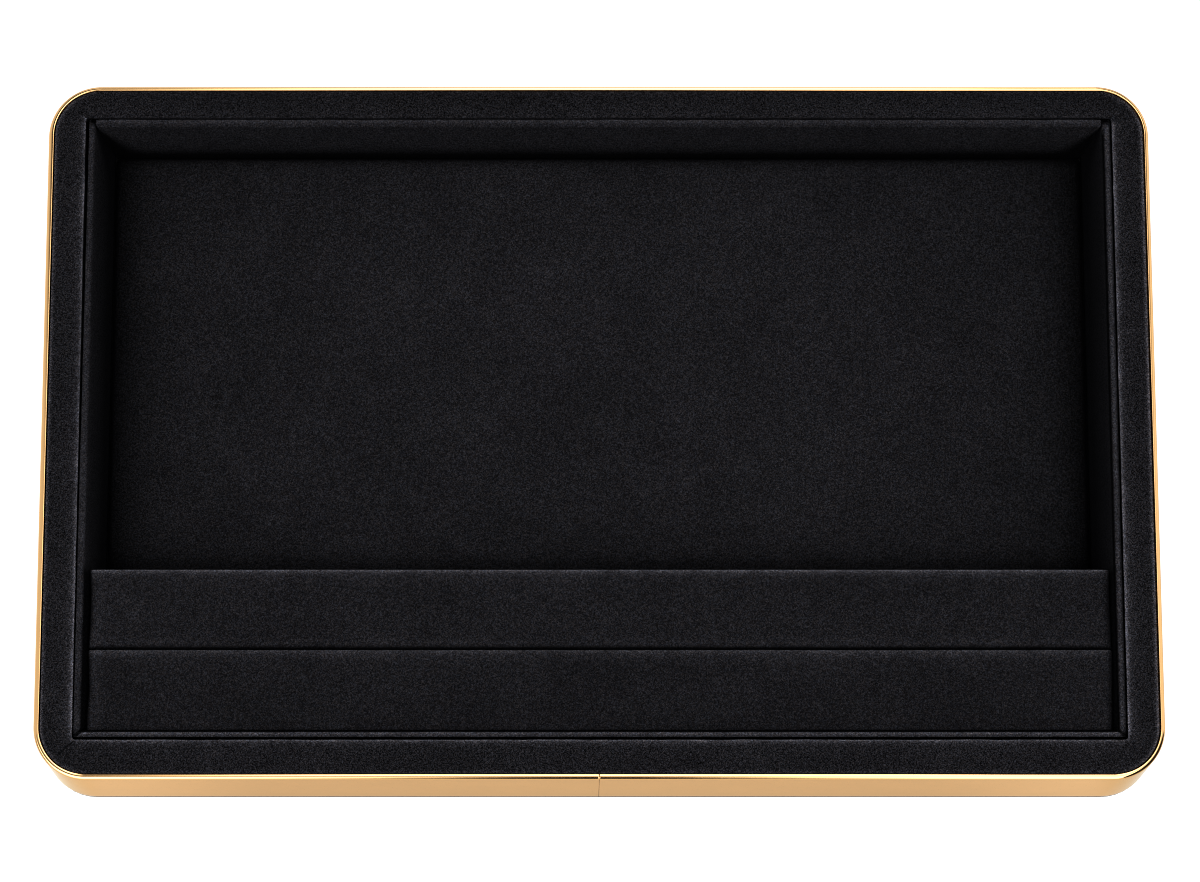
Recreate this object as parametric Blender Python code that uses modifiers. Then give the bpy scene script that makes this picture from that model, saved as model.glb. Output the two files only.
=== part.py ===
# Jewellery display tray: a metal-banded tray with a padded suede rim, a sunk suede-lined well and a
# lift-out pair of ring pads at the front of the well.
# Frame: +Z up, +X to the right, +Y to the back, origin at the middle of the underside. Metres.

import bpy
import bmesh
import math
from mathutils import Matrix, Vector

MM = 0.001

# ---------------------------------------------------------------- driving dimensions, millimetres
WIDTH = 350.0            # over the metal band, left to right
DEPTH = 223.0            # over the metal band, front to back
HEIGHT = 38.0            # underside of the felt to the top of the band
CORNER_R = 16.5          # outer corner of the band in plan
BAND_T = 1.6             # thickness of the band
BAND_TOP_OUT_R = 0.9     # rounding of the band's top edge, outer side
BAND_TOP_IN_R = 0.25     # and inner side
BAND_JOINT = 0.3         # open width of the butt joint at the middle of the front

FELT_T = 1.5             # thick felt, its edge shows as the dark line under the band
FELT_INSET = 0.1         # felt edge inside the band's outer face
BAND_BOTTOM = 1.8
BASE_Z = (1.8, 3.8)      # base board, let into the band
BASE_INSET = 1.9

GAP = 0.3                # between rigid neighbours
THIN_GAP = 0.1           # between a board and the cloth wrapped round it

RIM_TOP = 37.6           # top of the rim's suede
RIM_CLOTH = 0.7
RIM_LEG_Z = 23.0         # how far down the rim's suede is turned
RIM_FOAM_T = 1.6
WELL_X = 163.2           # inner edge of the rim's suede, left and right
WELL_FRONT = -98.9       # and at the front
WELL_BACK = 101.3        # and at the back
WELL_CORNER_R = 1.2

WALL_T = 2.0             # a wrapped wall strip
WALL_BOARD_T = 0.8
WALL_CLOTH = 0.5
WALL_TOP_Z = 36.9        # top edge of the wall strips
WALL_FOOT_Z = 16.6
WALL_IN_X = 160.6        # inner face of the side strips at their top edge
WALL_IN_FRONT = -96.6
WALL_IN_BACK = 98.5
WALL_SLOPE = 0.2486      # inward lean, run over rise

BATTEN_Z = (4.1, 12.7)
BATTEN_X = (-110.0, 0.0, 110.0)
BATTEN_W = 18.0
FLOOR_BOARD_Z = (13.0, 16.0)
FLOOR_Z = (16.3, 19.2)   # floor padding, from the panel to the top of its suede
FLOOR_X = 155.1
FLOOR_FRONT = -91.2
FLOOR_BACK = 93.1
FLOOR_CLOTH = 0.6

INSERT_BOARD_Z = (19.5, 21.0)
INSERT_BOARD_X = 154.2
INSERT_BOARD_Y = (-91.9, -45.2)
PAD_Z = (21.3, 35.8)
PAD_TOP_X = 158.3        # half length of a pad at its top; the ends lean with the walls
REAR_PAD_Y = (-70.05, -44.9)
FRONT_PAD_Y = (-96.0, -70.35)   # at the top; its front face leans with the front wall
PAD_CLOTH = 0.7
PAD_ROUND = 1.5

SCREW_HEAD_R = 2.5
SCREW_SHANK_R = 1.25
SCREW_TOP_Z = 15.0
SCREW_HOLE_EXTRA = 0.2
FRONT_SCREW_X = (-120.0, 0.0, 120.0)
SIDE_SCREW_Y = (-60.0, 60.0)

ARC_STEPS = 10           # segments in a quarter turn of the band


# ---------------------------------------------------------------- clean file and collections
for ob in list(bpy.data.objects):
    bpy.data.objects.remove(ob, do_unlink=True)

scene = bpy.context.scene
tray = bpy.data.collections.new("display_tray")
scene.collection.children.link(tray)
cutters = bpy.data.collections.new("cutters")
scene.collection.children.link(cutters)


# ---------------------------------------------------------------- materials
def material(name, rgb, roughness, metallic=0.0):
    mat = bpy.data.materials.new(name)
    mat.use_nodes = True
    mat.diffuse_color = (*rgb, 1.0)
    bsdf = mat.node_tree.nodes["Principled BSDF"]
    bsdf.inputs["Base Color"].default_value = (*rgb, 1.0)
    bsdf.inputs["Roughness"].default_value = roughness
    bsdf.inputs["Metallic"].default_value = metallic
    return mat


GOLD = material("gold_metal", (0.66, 0.40, 0.18), 0.22, 1.0)
STEEL = material("zinc_steel", (0.55, 0.55, 0.53), 0.40, 1.0)
SUEDE = material("black_suede", (0.012, 0.012, 0.014), 0.92)
FELT = material("black_felt", (0.010, 0.010, 0.011), 0.97)
BASE = material("black_board", (0.015, 0.015, 0.015), 0.70)
TIMBER = material("fibreboard", (0.42, 0.29, 0.17), 0.80)
CARD = material("grey_card", (0.33, 0.31, 0.28), 0.85)
FOAM = material("foam", (0.06, 0.06, 0.065), 0.95)


# ---------------------------------------------------------------- modelling helpers
def link(ob, where):
    where.objects.link(ob)
    if where is cutters:
        ob.hide_render = True
        ob.display_type = "WIRE"
    return ob


def rounded_rectangle(x0, x1, y0, y1, radius, steps):
    """Corner arcs of a rectangle, anticlockwise from the right end of the front side."""
    points = []
    for cx, cy, start in ((x1 - radius, y0 + radius, -90.0), (x1 - radius, y1 - radius, 0.0),
                          (x0 + radius, y1 - radius, 90.0), (x0 + radius, y0 + radius, 180.0)):
        for i in range(steps + 1):
            a = math.radians(start + 90.0 * i / steps)
            points.append((cx + radius * math.cos(a), cy + radius * math.sin(a)))
    return points


def curve_to_mesh(curve_ob, name, where):
    """A mesh object made from a curve object, its caps welded; the curve is removed."""
    bpy.context.view_layer.update()
    deps = bpy.context.evaluated_depsgraph_get()
    mesh = bpy.data.meshes.new_from_object(curve_ob.evaluated_get(deps))
    mesh.name = name
    bm = bmesh.new()
    bm.from_mesh(mesh)
    bmesh.ops.remove_doubles(bm, verts=bm.verts, dist=1e-6)
    bmesh.ops.recalc_face_normals(bm, faces=bm.faces)
    bm.to_mesh(mesh)
    bm.free()
    matrix, data = curve_ob.matrix_world.copy(), curve_ob.data
    bpy.data.objects.remove(curve_ob, do_unlink=True)
    bpy.data.curves.remove(data)
    ob = bpy.data.objects.new(name, mesh)
    ob.matrix_world = matrix
    return link(ob, where)


def plate(name, outlines, z0, z1, mat=None, where=tray, matrix=None):
    """Flat plate of the given outlines (the first is the edge, others are holes), from z0 to z1."""
    curve = bpy.data.curves.new(name, "CURVE")
    curve.dimensions = "2D"
    curve.fill_mode = "BOTH"
    curve.extrude = (z1 - z0) / 2 * MM
    for outline in outlines:
        spline = curve.splines.new("POLY")
        spline.points.add(len(outline) - 1)
        for p, (x, y) in zip(spline.points, outline):
            p.co = (x * MM, y * MM, 0.0, 1.0)
        spline.use_cyclic_u = True
    ob = bpy.data.objects.new(name, curve)
    scene.collection.objects.link(ob)
    lift = Matrix.Translation((0.0, 0.0, (z0 + z1) / 2 * MM))
    ob.matrix_world = (matrix @ lift) if matrix is not None else lift
    out = curve_to_mesh(ob, name, where)
    if mat is not None:
        out.data.materials.clear()
        out.data.materials.append(mat)
    return out


def box(name, top, bottom, mat=None, where=tray):
    """Six-sided block from a cube. top and bottom are (x0, x1, y0, y1, z)."""
    bm = bmesh.new()
    bmesh.ops.create_cube(bm, size=2.0)
    for v in bm.verts:
        x0, x1, y0, y1, z = top if v.co.z > 0 else bottom
        v.co = Vector((x1 if v.co.x > 0 else x0, y1 if v.co.y > 0 else y0, z)) * MM
    mesh = bpy.data.meshes.new(name)
    bm.to_mesh(mesh)
    bm.free()
    ob = bpy.data.objects.new(name, mesh)
    if mat is not None:
        mesh.materials.append(mat)
    return link(ob, where)


def bevel(ob, width, segments=2):
    mod = ob.modifiers.new("round", "BEVEL")
    mod.width = width * MM
    mod.segments = segments
    mod.limit_method = "ANGLE"
    mod.angle_limit = math.radians(30.0)
    return ob


def cut(ob, cutter):
    mod = ob.modifiers.new("cut_" + cutter.name, "BOOLEAN")
    mod.operation = "DIFFERENCE"
    mod.solver = "EXACT"
    mod.object = cutter
    return ob


def offset_rectangle(x, y0, y1, radius, inset, steps=ARC_STEPS):
    """The rounded rectangle +-x by y0..y1, moved inwards by inset."""
    return rounded_rectangle(-x + inset, x - inset, y0 + inset, y1 - inset,
                             max(radius - inset, 0.05), steps)


# ---------------------------------------------------------------- metal band
def make_band():
    half_t = BAND_T / 2
    path = offset_rectangle(WIDTH / 2, -DEPTH / 2, DEPTH / 2, CORNER_R, half_t)
    y_front = path[0][1]
    points = [(BAND_JOINT / 2, y_front)] + path + [(-BAND_JOINT / 2, y_front)]

    # upright section, outer side at +x: foot, outer face, rounded top, inner face
    ro, ri = BAND_TOP_OUT_R, BAND_TOP_IN_R
    section = [(-half_t, BAND_BOTTOM), (half_t - 0.2, BAND_BOTTOM), (half_t, BAND_BOTTOM + 0.2)]
    for i in range(4):
        a = math.radians(90.0 * i / 3)
        section.append((half_t - ro + ro * math.cos(a), HEIGHT - ro + ro * math.sin(a)))
    for i in range(3):
        a = math.radians(90.0 + 90.0 * i / 2)
        section.append((-half_t + ri + ri * math.cos(a), HEIGHT - ri + ri * math.sin(a)))

    profile = bpy.data.curves.new("band_section", "CURVE")
    profile.dimensions = "2D"
    profile.fill_mode = "NONE"
    s = profile.splines.new("POLY")
    s.points.add(len(section) - 1)
    for p, (x, y) in zip(s.points, section):
        p.co = (x * MM, y * MM, 0.0, 1.0)
    s.use_cyclic_u = True
    profile_ob = bpy.data.objects.new("band_section", profile)
    scene.collection.objects.link(profile_ob)

    curve = bpy.data.curves.new("metal_band", "CURVE")
    curve.dimensions = "2D"
    curve.bevel_mode = "OBJECT"
    curve.bevel_object = profile_ob
    curve.use_fill_caps = True
    spline = curve.splines.new("POLY")
    spline.points.add(len(points) - 1)
    for p, (x, y) in zip(spline.points, points):
        p.co = (x * MM, y * MM, 0.0, 1.0)
    ob = bpy.data.objects.new("metal_band_curve", curve)
    scene.collection.objects.link(ob)
    band = curve_to_mesh(ob, "metal_band", tray)
    bpy.data.objects.remove(profile_ob, do_unlink=True)
    bpy.data.curves.remove(profile)
    band.data.materials.clear()
    band.data.materials.append(GOLD)
    band.data.shade_smooth()
    band.data.set_sharp_from_angle(angle=math.radians(35.0))
    return band


make_band()

band_in_y = DEPTH / 2 - BAND_T
joint_plate_out = -band_in_y + GAP
box("band_joint_plate",
    (-12.0, 12.0, joint_plate_out, joint_plate_out + 0.7, 21.0),
    (-12.0, 12.0, joint_plate_out, joint_plate_out + 0.7, 5.0), STEEL)


# ---------------------------------------------------------------- base: felt and board
plate("base_felt", [offset_rectangle(WIDTH / 2, -DEPTH / 2, DEPTH / 2, CORNER_R, FELT_INSET)],
      0.0, FELT_T, FELT)
base_board = plate("base_board",
                   [offset_rectangle(WIDTH / 2, -DEPTH / 2, DEPTH / 2, CORNER_R, BASE_INSET)],
                   BASE_Z[0], BASE_Z[1], BASE)


# ---------------------------------------------------------------- frame rails, mitred at the corners
rail_out_x = WIDTH / 2 - BAND_T - GAP - RIM_CLOTH - GAP
rail_out_y = DEPTH / 2 - BAND_T - GAP - RIM_CLOTH - GAP
rail_out_r = CORNER_R - BAND_T - GAP - RIM_CLOTH - GAP
rail_in_x = WELL_X + RIM_CLOTH + GAP
rail_in_front = WELL_FRONT - RIM_CLOTH - GAP
rail_in_back = WELL_BACK + RIM_CLOTH + GAP
rail_z = (BASE_Z[1] + GAP, RIM_TOP - RIM_CLOTH - GAP - RIM_FOAM_T - GAP)


def corner_arc(cx, cy, start, end, steps):
    return [(cx + rail_out_r * math.cos(math.radians(start + (end - start) * i / steps)),
             cy + rail_out_r * math.sin(math.radians(start + (end - start) * i / steps)))
            for i in range(steps + 1)]


def rail_outline(side):
    """Half of each corner arc, and the straight inner face; each mitre is opened by a hair."""
    ax, ay = rail_out_x - rail_out_r, rail_out_y - rail_out_r
    d = math.degrees(GAP / 2 / rail_out_r)
    g = GAP / 2 * math.sqrt(2.0)
    if side == "front":
        return ([(-rail_in_x + g, rail_in_front)]
                + corner_arc(-ax, -ay, 225 + d, 270, 5) + corner_arc(ax, -ay, 270, 315 - d, 5)
                + [(rail_in_x - g, rail_in_front)])
    if side == "right":
        return ([(rail_in_x, rail_in_front + g)]
                + corner_arc(ax, -ay, 315 + d, 360, 5) + corner_arc(ax, ay, 0, 45 - d, 5)
                + [(rail_in_x, rail_in_back - g)])
    if side == "back":
        return ([(rail_in_x - g, rail_in_back)]
                + corner_arc(ax, ay, 45 + d, 90, 5) + corner_arc(-ax, ay, 90, 135 - d, 5)
                + [(-rail_in_x + g, rail_in_back)])
    return ([(-rail_in_x, rail_in_back - g)]
            + corner_arc(-ax, ay, 135 + d, 180, 5) + corner_arc(-ax, -ay, 180, 225 - d, 5)
            + [(-rail_in_x, rail_in_front + g)])


rails = {side: plate(side + "_rail", [rail_outline(side)], rail_z[0], rail_z[1], TIMBER)
         for side in ("front", "right", "back", "left")}


# ---------------------------------------------------------------- base screws and their holes
screw_places = [(x, (rail_in_front - rail_out_y) / 2) for x in FRONT_SCREW_X]
screw_places += [(x, (rail_in_back + rail_out_y) / 2) for x in FRONT_SCREW_X]
screw_places += [(s * (rail_in_x + rail_out_x) / 2, y) for s in (-1, 1) for y in SIDE_SCREW_Y]


def turned(name, profile, steps=12):
    """A turned solid: profile points (radius, z) in millimetres, outer side read top to bottom."""
    mesh = bpy.data.meshes.new(name)
    bm = bmesh.new()
    verts = [bm.verts.new((r * MM, 0.0, z * MM)) for r, z in profile]
    for a, b in zip(verts, verts[1:]):
        bm.edges.new((a, b))
    bm.to_mesh(mesh)
    bm.free()
    ob = bpy.data.objects.new(name, mesh)
    mod = ob.modifiers.new("turn", "SCREW")
    mod.steps = steps
    mod.render_steps = steps
    mod.use_merge_vertices = True
    mod.merge_threshold = 0.00001
    return ob


def repeated(name, source, places, mat, where):
    """One object holding a copy of the source's evaluated mesh at each place."""
    scene.collection.objects.link(source)
    bpy.context.view_layer.update()
    deps = bpy.context.evaluated_depsgraph_get()
    single = bpy.data.meshes.new_from_object(source.evaluated_get(deps))
    out = bpy.data.meshes.new(name)
    bm = bmesh.new()
    for x, y in places:
        before = len(bm.verts)
        bm.from_mesh(single)
        bm.verts.ensure_lookup_table()
        bmesh.ops.translate(bm, verts=bm.verts[before:], vec=(x * MM, y * MM, 0.0))
    bmesh.ops.recalc_face_normals(bm, faces=bm.faces)
    bm.to_mesh(out)
    bm.free()
    bpy.data.meshes.remove(single)
    data = source.data
    bpy.data.objects.remove(source, do_unlink=True)
    bpy.data.meshes.remove(data)
    ob = bpy.data.objects.new(name, out)
    if mat is not None:
        out.materials.append(mat)
    return link(ob, where)


head_z = BASE_Z[0] + 0.1
neck_z = BASE_Z[1] - 0.35
pattern = repeated("base_screw_pattern",
                   turned("screw", [(0.0, SCREW_TOP_Z), (0.3, SCREW_TOP_Z - 0.3),
                                    (SCREW_SHANK_R, SCREW_TOP_Z - 2.5), (SCREW_SHANK_R, neck_z),
                                    (SCREW_HEAD_R, head_z), (0.0, head_z)]),
                   [(0.0, 0.0)], STEEL, cutters)
for number, (x, y) in enumerate(screw_places, 1):
    screw = bpy.data.objects.new("base_screw_%02d" % number, pattern.data)
    screw.location = (x * MM, y * MM, 0.0)
    link(screw, tray)
bpy.data.objects.remove(pattern, do_unlink=True)

extra = SCREW_HOLE_EXTRA
hole_cutter = repeated("screw_hole_cutter",
                       turned("hole", [(0.0, SCREW_TOP_Z + 0.5),
                                       (SCREW_SHANK_R + extra, SCREW_TOP_Z + 0.5),
                                       (SCREW_SHANK_R + extra, neck_z + 0.1),
                                       (SCREW_HEAD_R + extra, head_z + 0.1),
                                       (SCREW_HEAD_R + extra, BASE_Z[0] - 0.5),
                                       (0.0, BASE_Z[0] - 0.5)]),
                       screw_places, None, cutters)
cut(base_board, hole_cutter)
for rail in rails.values():
    cut(rail, hole_cutter)


# ---------------------------------------------------------------- rim: foam ring and suede
foam_z0 = rail_z[1] + GAP
plate("rim_foam",
      [offset_rectangle(rail_out_x, -rail_out_y, rail_out_y, rail_out_r, 0.0),
       rounded_rectangle(-rail_in_x, rail_in_x, rail_in_front, rail_in_back, 0.3, 2)],
      foam_z0, foam_z0 + RIM_FOAM_T, FOAM)

cover_x = WIDTH / 2 - BAND_T - GAP
cover_y = DEPTH / 2 - BAND_T - GAP
cover_r = CORNER_R - BAND_T - GAP
rim_cover = plate("rim_cover",
                  [offset_rectangle(cover_x, -cover_y, cover_y, cover_r, 0.0),
                   rounded_rectangle(-WELL_X, WELL_X, WELL_FRONT, WELL_BACK, WELL_CORNER_R, 3)],
                  RIM_LEG_Z, RIM_TOP, SUEDE)
rim_channel = plate("rim_channel_cutter",
                    [offset_rectangle(cover_x, -cover_y, cover_y, cover_r, RIM_CLOTH),
                     rounded_rectangle(-WELL_X - RIM_CLOTH, WELL_X + RIM_CLOTH,
                                       WELL_FRONT - RIM_CLOTH, WELL_BACK + RIM_CLOTH,
                                       WELL_CORNER_R + 0.3, 3)],
                    RIM_LEG_Z - 5.0, RIM_TOP - RIM_CLOTH, None, cutters)
cut(rim_cover, rim_channel)


# ---------------------------------------------------------------- wall strips of the well
lean = math.atan(WALL_SLOPE)
wall_run = WALL_TOP_Z - 0.1 - WALL_FOOT_Z
wall_len = wall_run / math.cos(lean)
centre_shift = WALL_T / 2 / math.cos(lean) - (WALL_TOP_Z - WALL_FOOT_Z) * WALL_SLOPE


def wall_matrix(side):
    """Local x along the strip, local y up its lean from the foot, local z through its thickness."""
    out = {"left": Vector((-1, 0, 0)), "right": Vector((1, 0, 0)),
           "front": Vector((0, -1, 0)), "back": Vector((0, 1, 0))}[side]
    foot = {"left": Vector((-(WALL_IN_X + centre_shift), 0, WALL_FOOT_Z)),
            "right": Vector((WALL_IN_X + centre_shift, 0, WALL_FOOT_Z)),
            "front": Vector((0, WALL_IN_FRONT - centre_shift, WALL_FOOT_Z)),
            "back": Vector((0, WALL_IN_BACK + centre_shift, WALL_FOOT_Z))}[side] * MM
    up = out * math.sin(lean) + Vector((0, 0, 1)) * math.cos(lean)
    through = out * math.cos(lean) - Vector((0, 0, 1)) * math.sin(lean)
    along = up.cross(through)
    m = Matrix.Identity(4)
    for i in range(3):
        m[i][0], m[i][1], m[i][2], m[i][3] = along[i], up[i], through[i], foot[i]
    return m


def wall_outline(side, inset_end, s0, s1):
    """The front strip runs the full width, cut square; the side strips butt against its leaning face
    and run on to the back rim; the back strip is cut to fit between the leaning side strips."""
    def run_in(s):
        z = WALL_FOOT_Z + s * math.cos(lean)
        return (WALL_TOP_Z - z) * WALL_SLOPE

    if side in ("left", "right"):
        sign = 1 if wall_matrix(side)[1][0] > 0 else -1
        back = sign * (WELL_BACK - 0.4 - inset_end)

        def front(s):
            return sign * (WALL_IN_FRONT + run_in(s) + 0.4 + inset_end)
        outline = [(front(s0), s0), (back, s0), (back, s1), (front(s1), s1)]
        return outline if sign > 0 else outline[::-1]
    if side == "front":
        half = WELL_X - 0.4 - inset_end
        return [(-half, s0), (half, s0), (half, s1), (-half, s1)]
    foot, top = (WALL_IN_X - run_in(s) - 0.35 - inset_end for s in (s0, s1))
    return [(-foot, s0), (foot, s0), (top, s1), (-top, s1)]


for side in ("left", "right", "front", "back"):
    m = wall_matrix(side)
    wrap = WALL_CLOTH + THIN_GAP
    plate(side + "_wall_board", [wall_outline(side, wrap, 0.1, wall_len - wrap)],
          -WALL_BOARD_T / 2, WALL_BOARD_T / 2, CARD, tray, m)
    cover = plate(side + "_wall_cover", [wall_outline(side, 0.0, 0.0, wall_len)],
                  -WALL_T / 2, WALL_T / 2, SUEDE, tray, m)
    slot = plate(side + "_wall_slot_cutter",
                 [wall_outline(side, WALL_CLOTH, -2.0, wall_len - WALL_CLOTH)],
                 -WALL_BOARD_T / 2 - THIN_GAP, WALL_BOARD_T / 2 + THIN_GAP, None, cutters, m)
    cut(cover, slot)


# ---------------------------------------------------------------- floor of the well
for label, x in zip(("left", "centre", "right"), BATTEN_X):
    sides = (x - BATTEN_W / 2, x + BATTEN_W / 2, rail_in_front + GAP, rail_in_back - GAP)
    box("floor_batten_" + label, (*sides, BATTEN_Z[1]), (*sides, BATTEN_Z[0]), TIMBER)

board = (-rail_in_x + GAP, rail_in_x - GAP, rail_in_front + GAP, rail_in_back - GAP)
box("floor_board", (*board, FLOOR_BOARD_Z[1]), (*board, FLOOR_BOARD_Z[0]), TIMBER)

edge = FLOOR_CLOTH + GAP
foam = (-FLOOR_X + edge, FLOOR_X - edge, FLOOR_FRONT + edge, FLOOR_BACK - edge)
box("floor_foam", (*foam, FLOOR_Z[1] - edge), (*foam, FLOOR_Z[0]), FOAM)

skin = (-FLOOR_X, FLOOR_X, FLOOR_FRONT, FLOOR_BACK)
floor_cover = box("floor_cover", (*skin, FLOOR_Z[1]), (*skin, FLOOR_Z[0]), SUEDE)
hollow = (-FLOOR_X + FLOOR_CLOTH, FLOOR_X - FLOOR_CLOTH,
          FLOOR_FRONT + FLOOR_CLOTH, FLOOR_BACK - FLOOR_CLOTH)
cut(floor_cover, box("floor_hollow_cutter", (*hollow, FLOOR_Z[1] - FLOOR_CLOTH),
                     (*hollow, FLOOR_Z[0] - 2.0), None, cutters))


# ---------------------------------------------------------------- lift-out ring insert
# One card carries both pads, so that the slit between them stays closed on a ring's shank.
card = (-INSERT_BOARD_X, INSERT_BOARD_X, INSERT_BOARD_Y[0], INSERT_BOARD_Y[1])
box("insert_board", (*card, INSERT_BOARD_Z[1]), (*card, INSERT_BOARD_Z[0]), CARD)


def pad_block(name, y_front, y_back, front_leans, inset, z0, z1, mat, where):
    """Block whose ends, and front face if asked, lean with the walls; inset moves its sides in."""
    def rect(z):
        drop = (PAD_Z[1] - z) * WALL_SLOPE
        return (-PAD_TOP_X + drop + inset, PAD_TOP_X - drop - inset,
                y_front + (drop if front_leans else 0.0) + inset, y_back - inset, z)
    return box(name, rect(z1), rect(z0), mat, where)


for label, (y0, y1), leans in (("rear", REAR_PAD_Y, False), ("front", FRONT_PAD_Y, True)):
    inner = PAD_CLOTH + THIN_GAP + 0.05
    pad_block(label + "_pad_foam", y0, y1, leans, inner, PAD_Z[0], PAD_Z[1] - inner, FOAM, tray)
    cover = bevel(pad_block(label + "_pad_cover", y0, y1, leans, 0.0, PAD_Z[0] - 3.0, PAD_Z[1],
                            SUEDE, tray), PAD_ROUND)
    cut(cover, pad_block(label + "_pad_hollow_cutter", y0, y1, leans, PAD_CLOTH,
                         PAD_Z[0] - 4.0, PAD_Z[1] - PAD_CLOTH, None, cutters))
    slab = (-WIDTH / 2, WIDTH / 2, y0 - 5.0, y1 + 5.0)
    cut(cover, box(label + "_pad_trim_cutter", (*slab, PAD_Z[0]), (*slab, PAD_Z[0] - 6.0),
                   None, cutters))
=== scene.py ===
"""Looks of the display tray: suede covers, foam, the polished metal band, finishes, light and camera.

Everything is written in millimetres of the frame (x right, y back, z up) and turned into metres
when a mesh is made.
"""
import math

import bpy
import bmesh
import numpy as np
from mathutils import Matrix, Vector, noise


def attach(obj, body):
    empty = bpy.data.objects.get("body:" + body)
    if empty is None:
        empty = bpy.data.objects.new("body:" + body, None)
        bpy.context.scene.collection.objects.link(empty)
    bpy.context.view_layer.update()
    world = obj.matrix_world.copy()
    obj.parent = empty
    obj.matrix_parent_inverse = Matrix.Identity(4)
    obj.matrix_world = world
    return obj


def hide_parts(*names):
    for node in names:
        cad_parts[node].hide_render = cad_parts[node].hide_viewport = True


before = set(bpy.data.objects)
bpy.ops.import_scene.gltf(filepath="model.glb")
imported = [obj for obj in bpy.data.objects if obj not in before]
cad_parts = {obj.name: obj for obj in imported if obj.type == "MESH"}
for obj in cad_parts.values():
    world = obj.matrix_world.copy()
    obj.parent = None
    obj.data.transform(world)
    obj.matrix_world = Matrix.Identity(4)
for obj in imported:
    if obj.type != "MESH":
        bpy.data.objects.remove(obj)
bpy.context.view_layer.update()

MM = 0.001
scene = bpy.context.scene

# ------------------------------------------------------------------ dimensions, as in the CAD
HALF_W, HALF_D, TOP = 175.0, 111.5, 38.0
CORNER_R, BAND_T, BAND_BOTTOM = 16.5, 1.6, 1.8
RIM_X, RIM_Y, RIM_R, RIM_TOP = 173.1, 109.6, 14.6, 37.6
WELL_X, WELL_FRONT, WELL_BACK, WELL_R = 163.2, -98.9, 101.3, 1.2
RIM_LEG_Z = 23.0
WALL_T, WALL_TOP_Z, WALL_FOOT_Z = 2.0, 36.9, 16.6
WALL_IN_X, WALL_IN_FRONT, WALL_IN_BACK, LEAN = 160.6, -96.6, 98.5, 0.2486
FLOOR_Z = (16.3, 19.2)
FLOOR_X, FLOOR_FRONT, FLOOR_BACK = 155.1, -91.2, 93.1
PAD_Z = (21.3, 35.8)
PAD_TOP_X = 158.3
# distance from the pad's back edge, and how far its left and right ends reach there
REAR_ENDS = ((0.0, 2.6, 6.7, 12.7, 19.3, 23.0, 25.0), (159.2, 158.9, 158.6, 158.5, 158.65, 158.9, 159.0),
             (159.5, 159.4, 159.3, 159.3, 159.4, 159.5, 159.6))
FRONT_ENDS = ((0.0, 1.5, 5.0, 12.0, 19.7, 24.0), (159.2, 159.0, 158.8, 158.55, 158.9, 159.0),
              (159.8, 159.7, 159.6, 159.5, 159.3, 159.1))
REAR_PAD_Y = (-70.05, -44.9)
FRONT_PAD_Y = (-96.0, -70.35)


# ------------------------------------------------------------------ small maths
def smooth(t):
    t = np.clip(t, 0.0, 1.0)
    return t * t * (3 - 2 * t)


def fbm(points, wavelength, seed, octaves=3):
    """Smooth noise, about -1 to 1, at an array of points in millimetres."""
    out = np.zeros(len(points))
    for i, p in enumerate(points):
        v, a, w = 0.0, 1.0, wavelength
        for _ in range(octaves):
            v += a * noise.noise(Vector((p[0] / w + seed, p[1] / w - seed * 0.7, p[2] / w + 0.31 * seed)))
            a *= 0.5
            w *= 0.5
        out[i] = v
    return out


def segment_distance(px, py, path):
    """Distance to a polyline, the share of its length at the nearest point, and the side (+-1)."""
    path = [np.array(p, float) for p in path]
    total = sum(np.linalg.norm(b - a) for a, b in zip(path, path[1:]))
    best = np.full(px.shape, 1e9)
    share = np.zeros(px.shape)
    side = np.ones(px.shape)
    run = 0.0
    for a, b in zip(path, path[1:]):
        d = b - a
        n = np.linalg.norm(d)
        t = np.clip(((px - a[0]) * d[0] + (py - a[1]) * d[1]) / n ** 2, 0, 1)
        ex, ey = px - a[0] - t * d[0], py - a[1] - t * d[1]
        dist = np.hypot(ex, ey)
        closer = dist < best
        best = np.where(closer, dist, best)
        share = np.where(closer, (run + t * n) / total, share)
        side = np.where(closer, np.sign(d[0] * ey - d[1] * ex + 1e-12), side)
        run += n
    return best, share, side


def spline(points, count):
    """Catmull-Rom curve through the points, as a list of count points."""
    p = [np.array(q, float) for q in points]
    p = [2 * p[0] - p[1]] + p + [2 * p[-1] - p[-2]]
    out = []
    n = len(points) - 1
    for i in range(count):
        t = i * n / (count - 1)
        k = min(int(t), n - 1)
        t -= k
        a, b, c, d = p[k:k + 4]
        out.append(0.5 * (2 * b + (c - a) * t + (2 * a - 5 * b + 4 * c - d) * t ** 2
                          + (3 * b - 3 * c + d - a) * t ** 3))
    return out


# ------------------------------------------------------------------ mesh making
def new_object(name, verts, faces, mat, attributes=None, smooth_shade=True):
    mesh = bpy.data.meshes.new(name)
    mesh.from_pydata((np.asarray(verts, float) * MM).tolist(), [], faces)
    mesh.update()
    if attributes:
        for key, values in attributes.items():
            layer = mesh.attributes.new(key, "FLOAT", "POINT")
            layer.data.foreach_set("value", np.asarray(values, np.float32))
    mesh.validate()
    if smooth_shade:
        mesh.shade_smooth()
    ob = bpy.data.objects.new(name, mesh)
    scene.collection.objects.link(ob)
    mesh.materials.append(mat)
    return ob


def face_out(ob):
    """Turns the faces of a closed mesh outwards."""
    bm = bmesh.new()
    bm.from_mesh(ob.data)
    bmesh.ops.recalc_face_normals(bm, faces=bm.faces)
    if bm.calc_volume(signed=True) < 0:
        bmesh.ops.reverse_faces(bm, faces=bm.faces)
    bm.to_mesh(ob.data)
    bm.free()
    return ob


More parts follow.
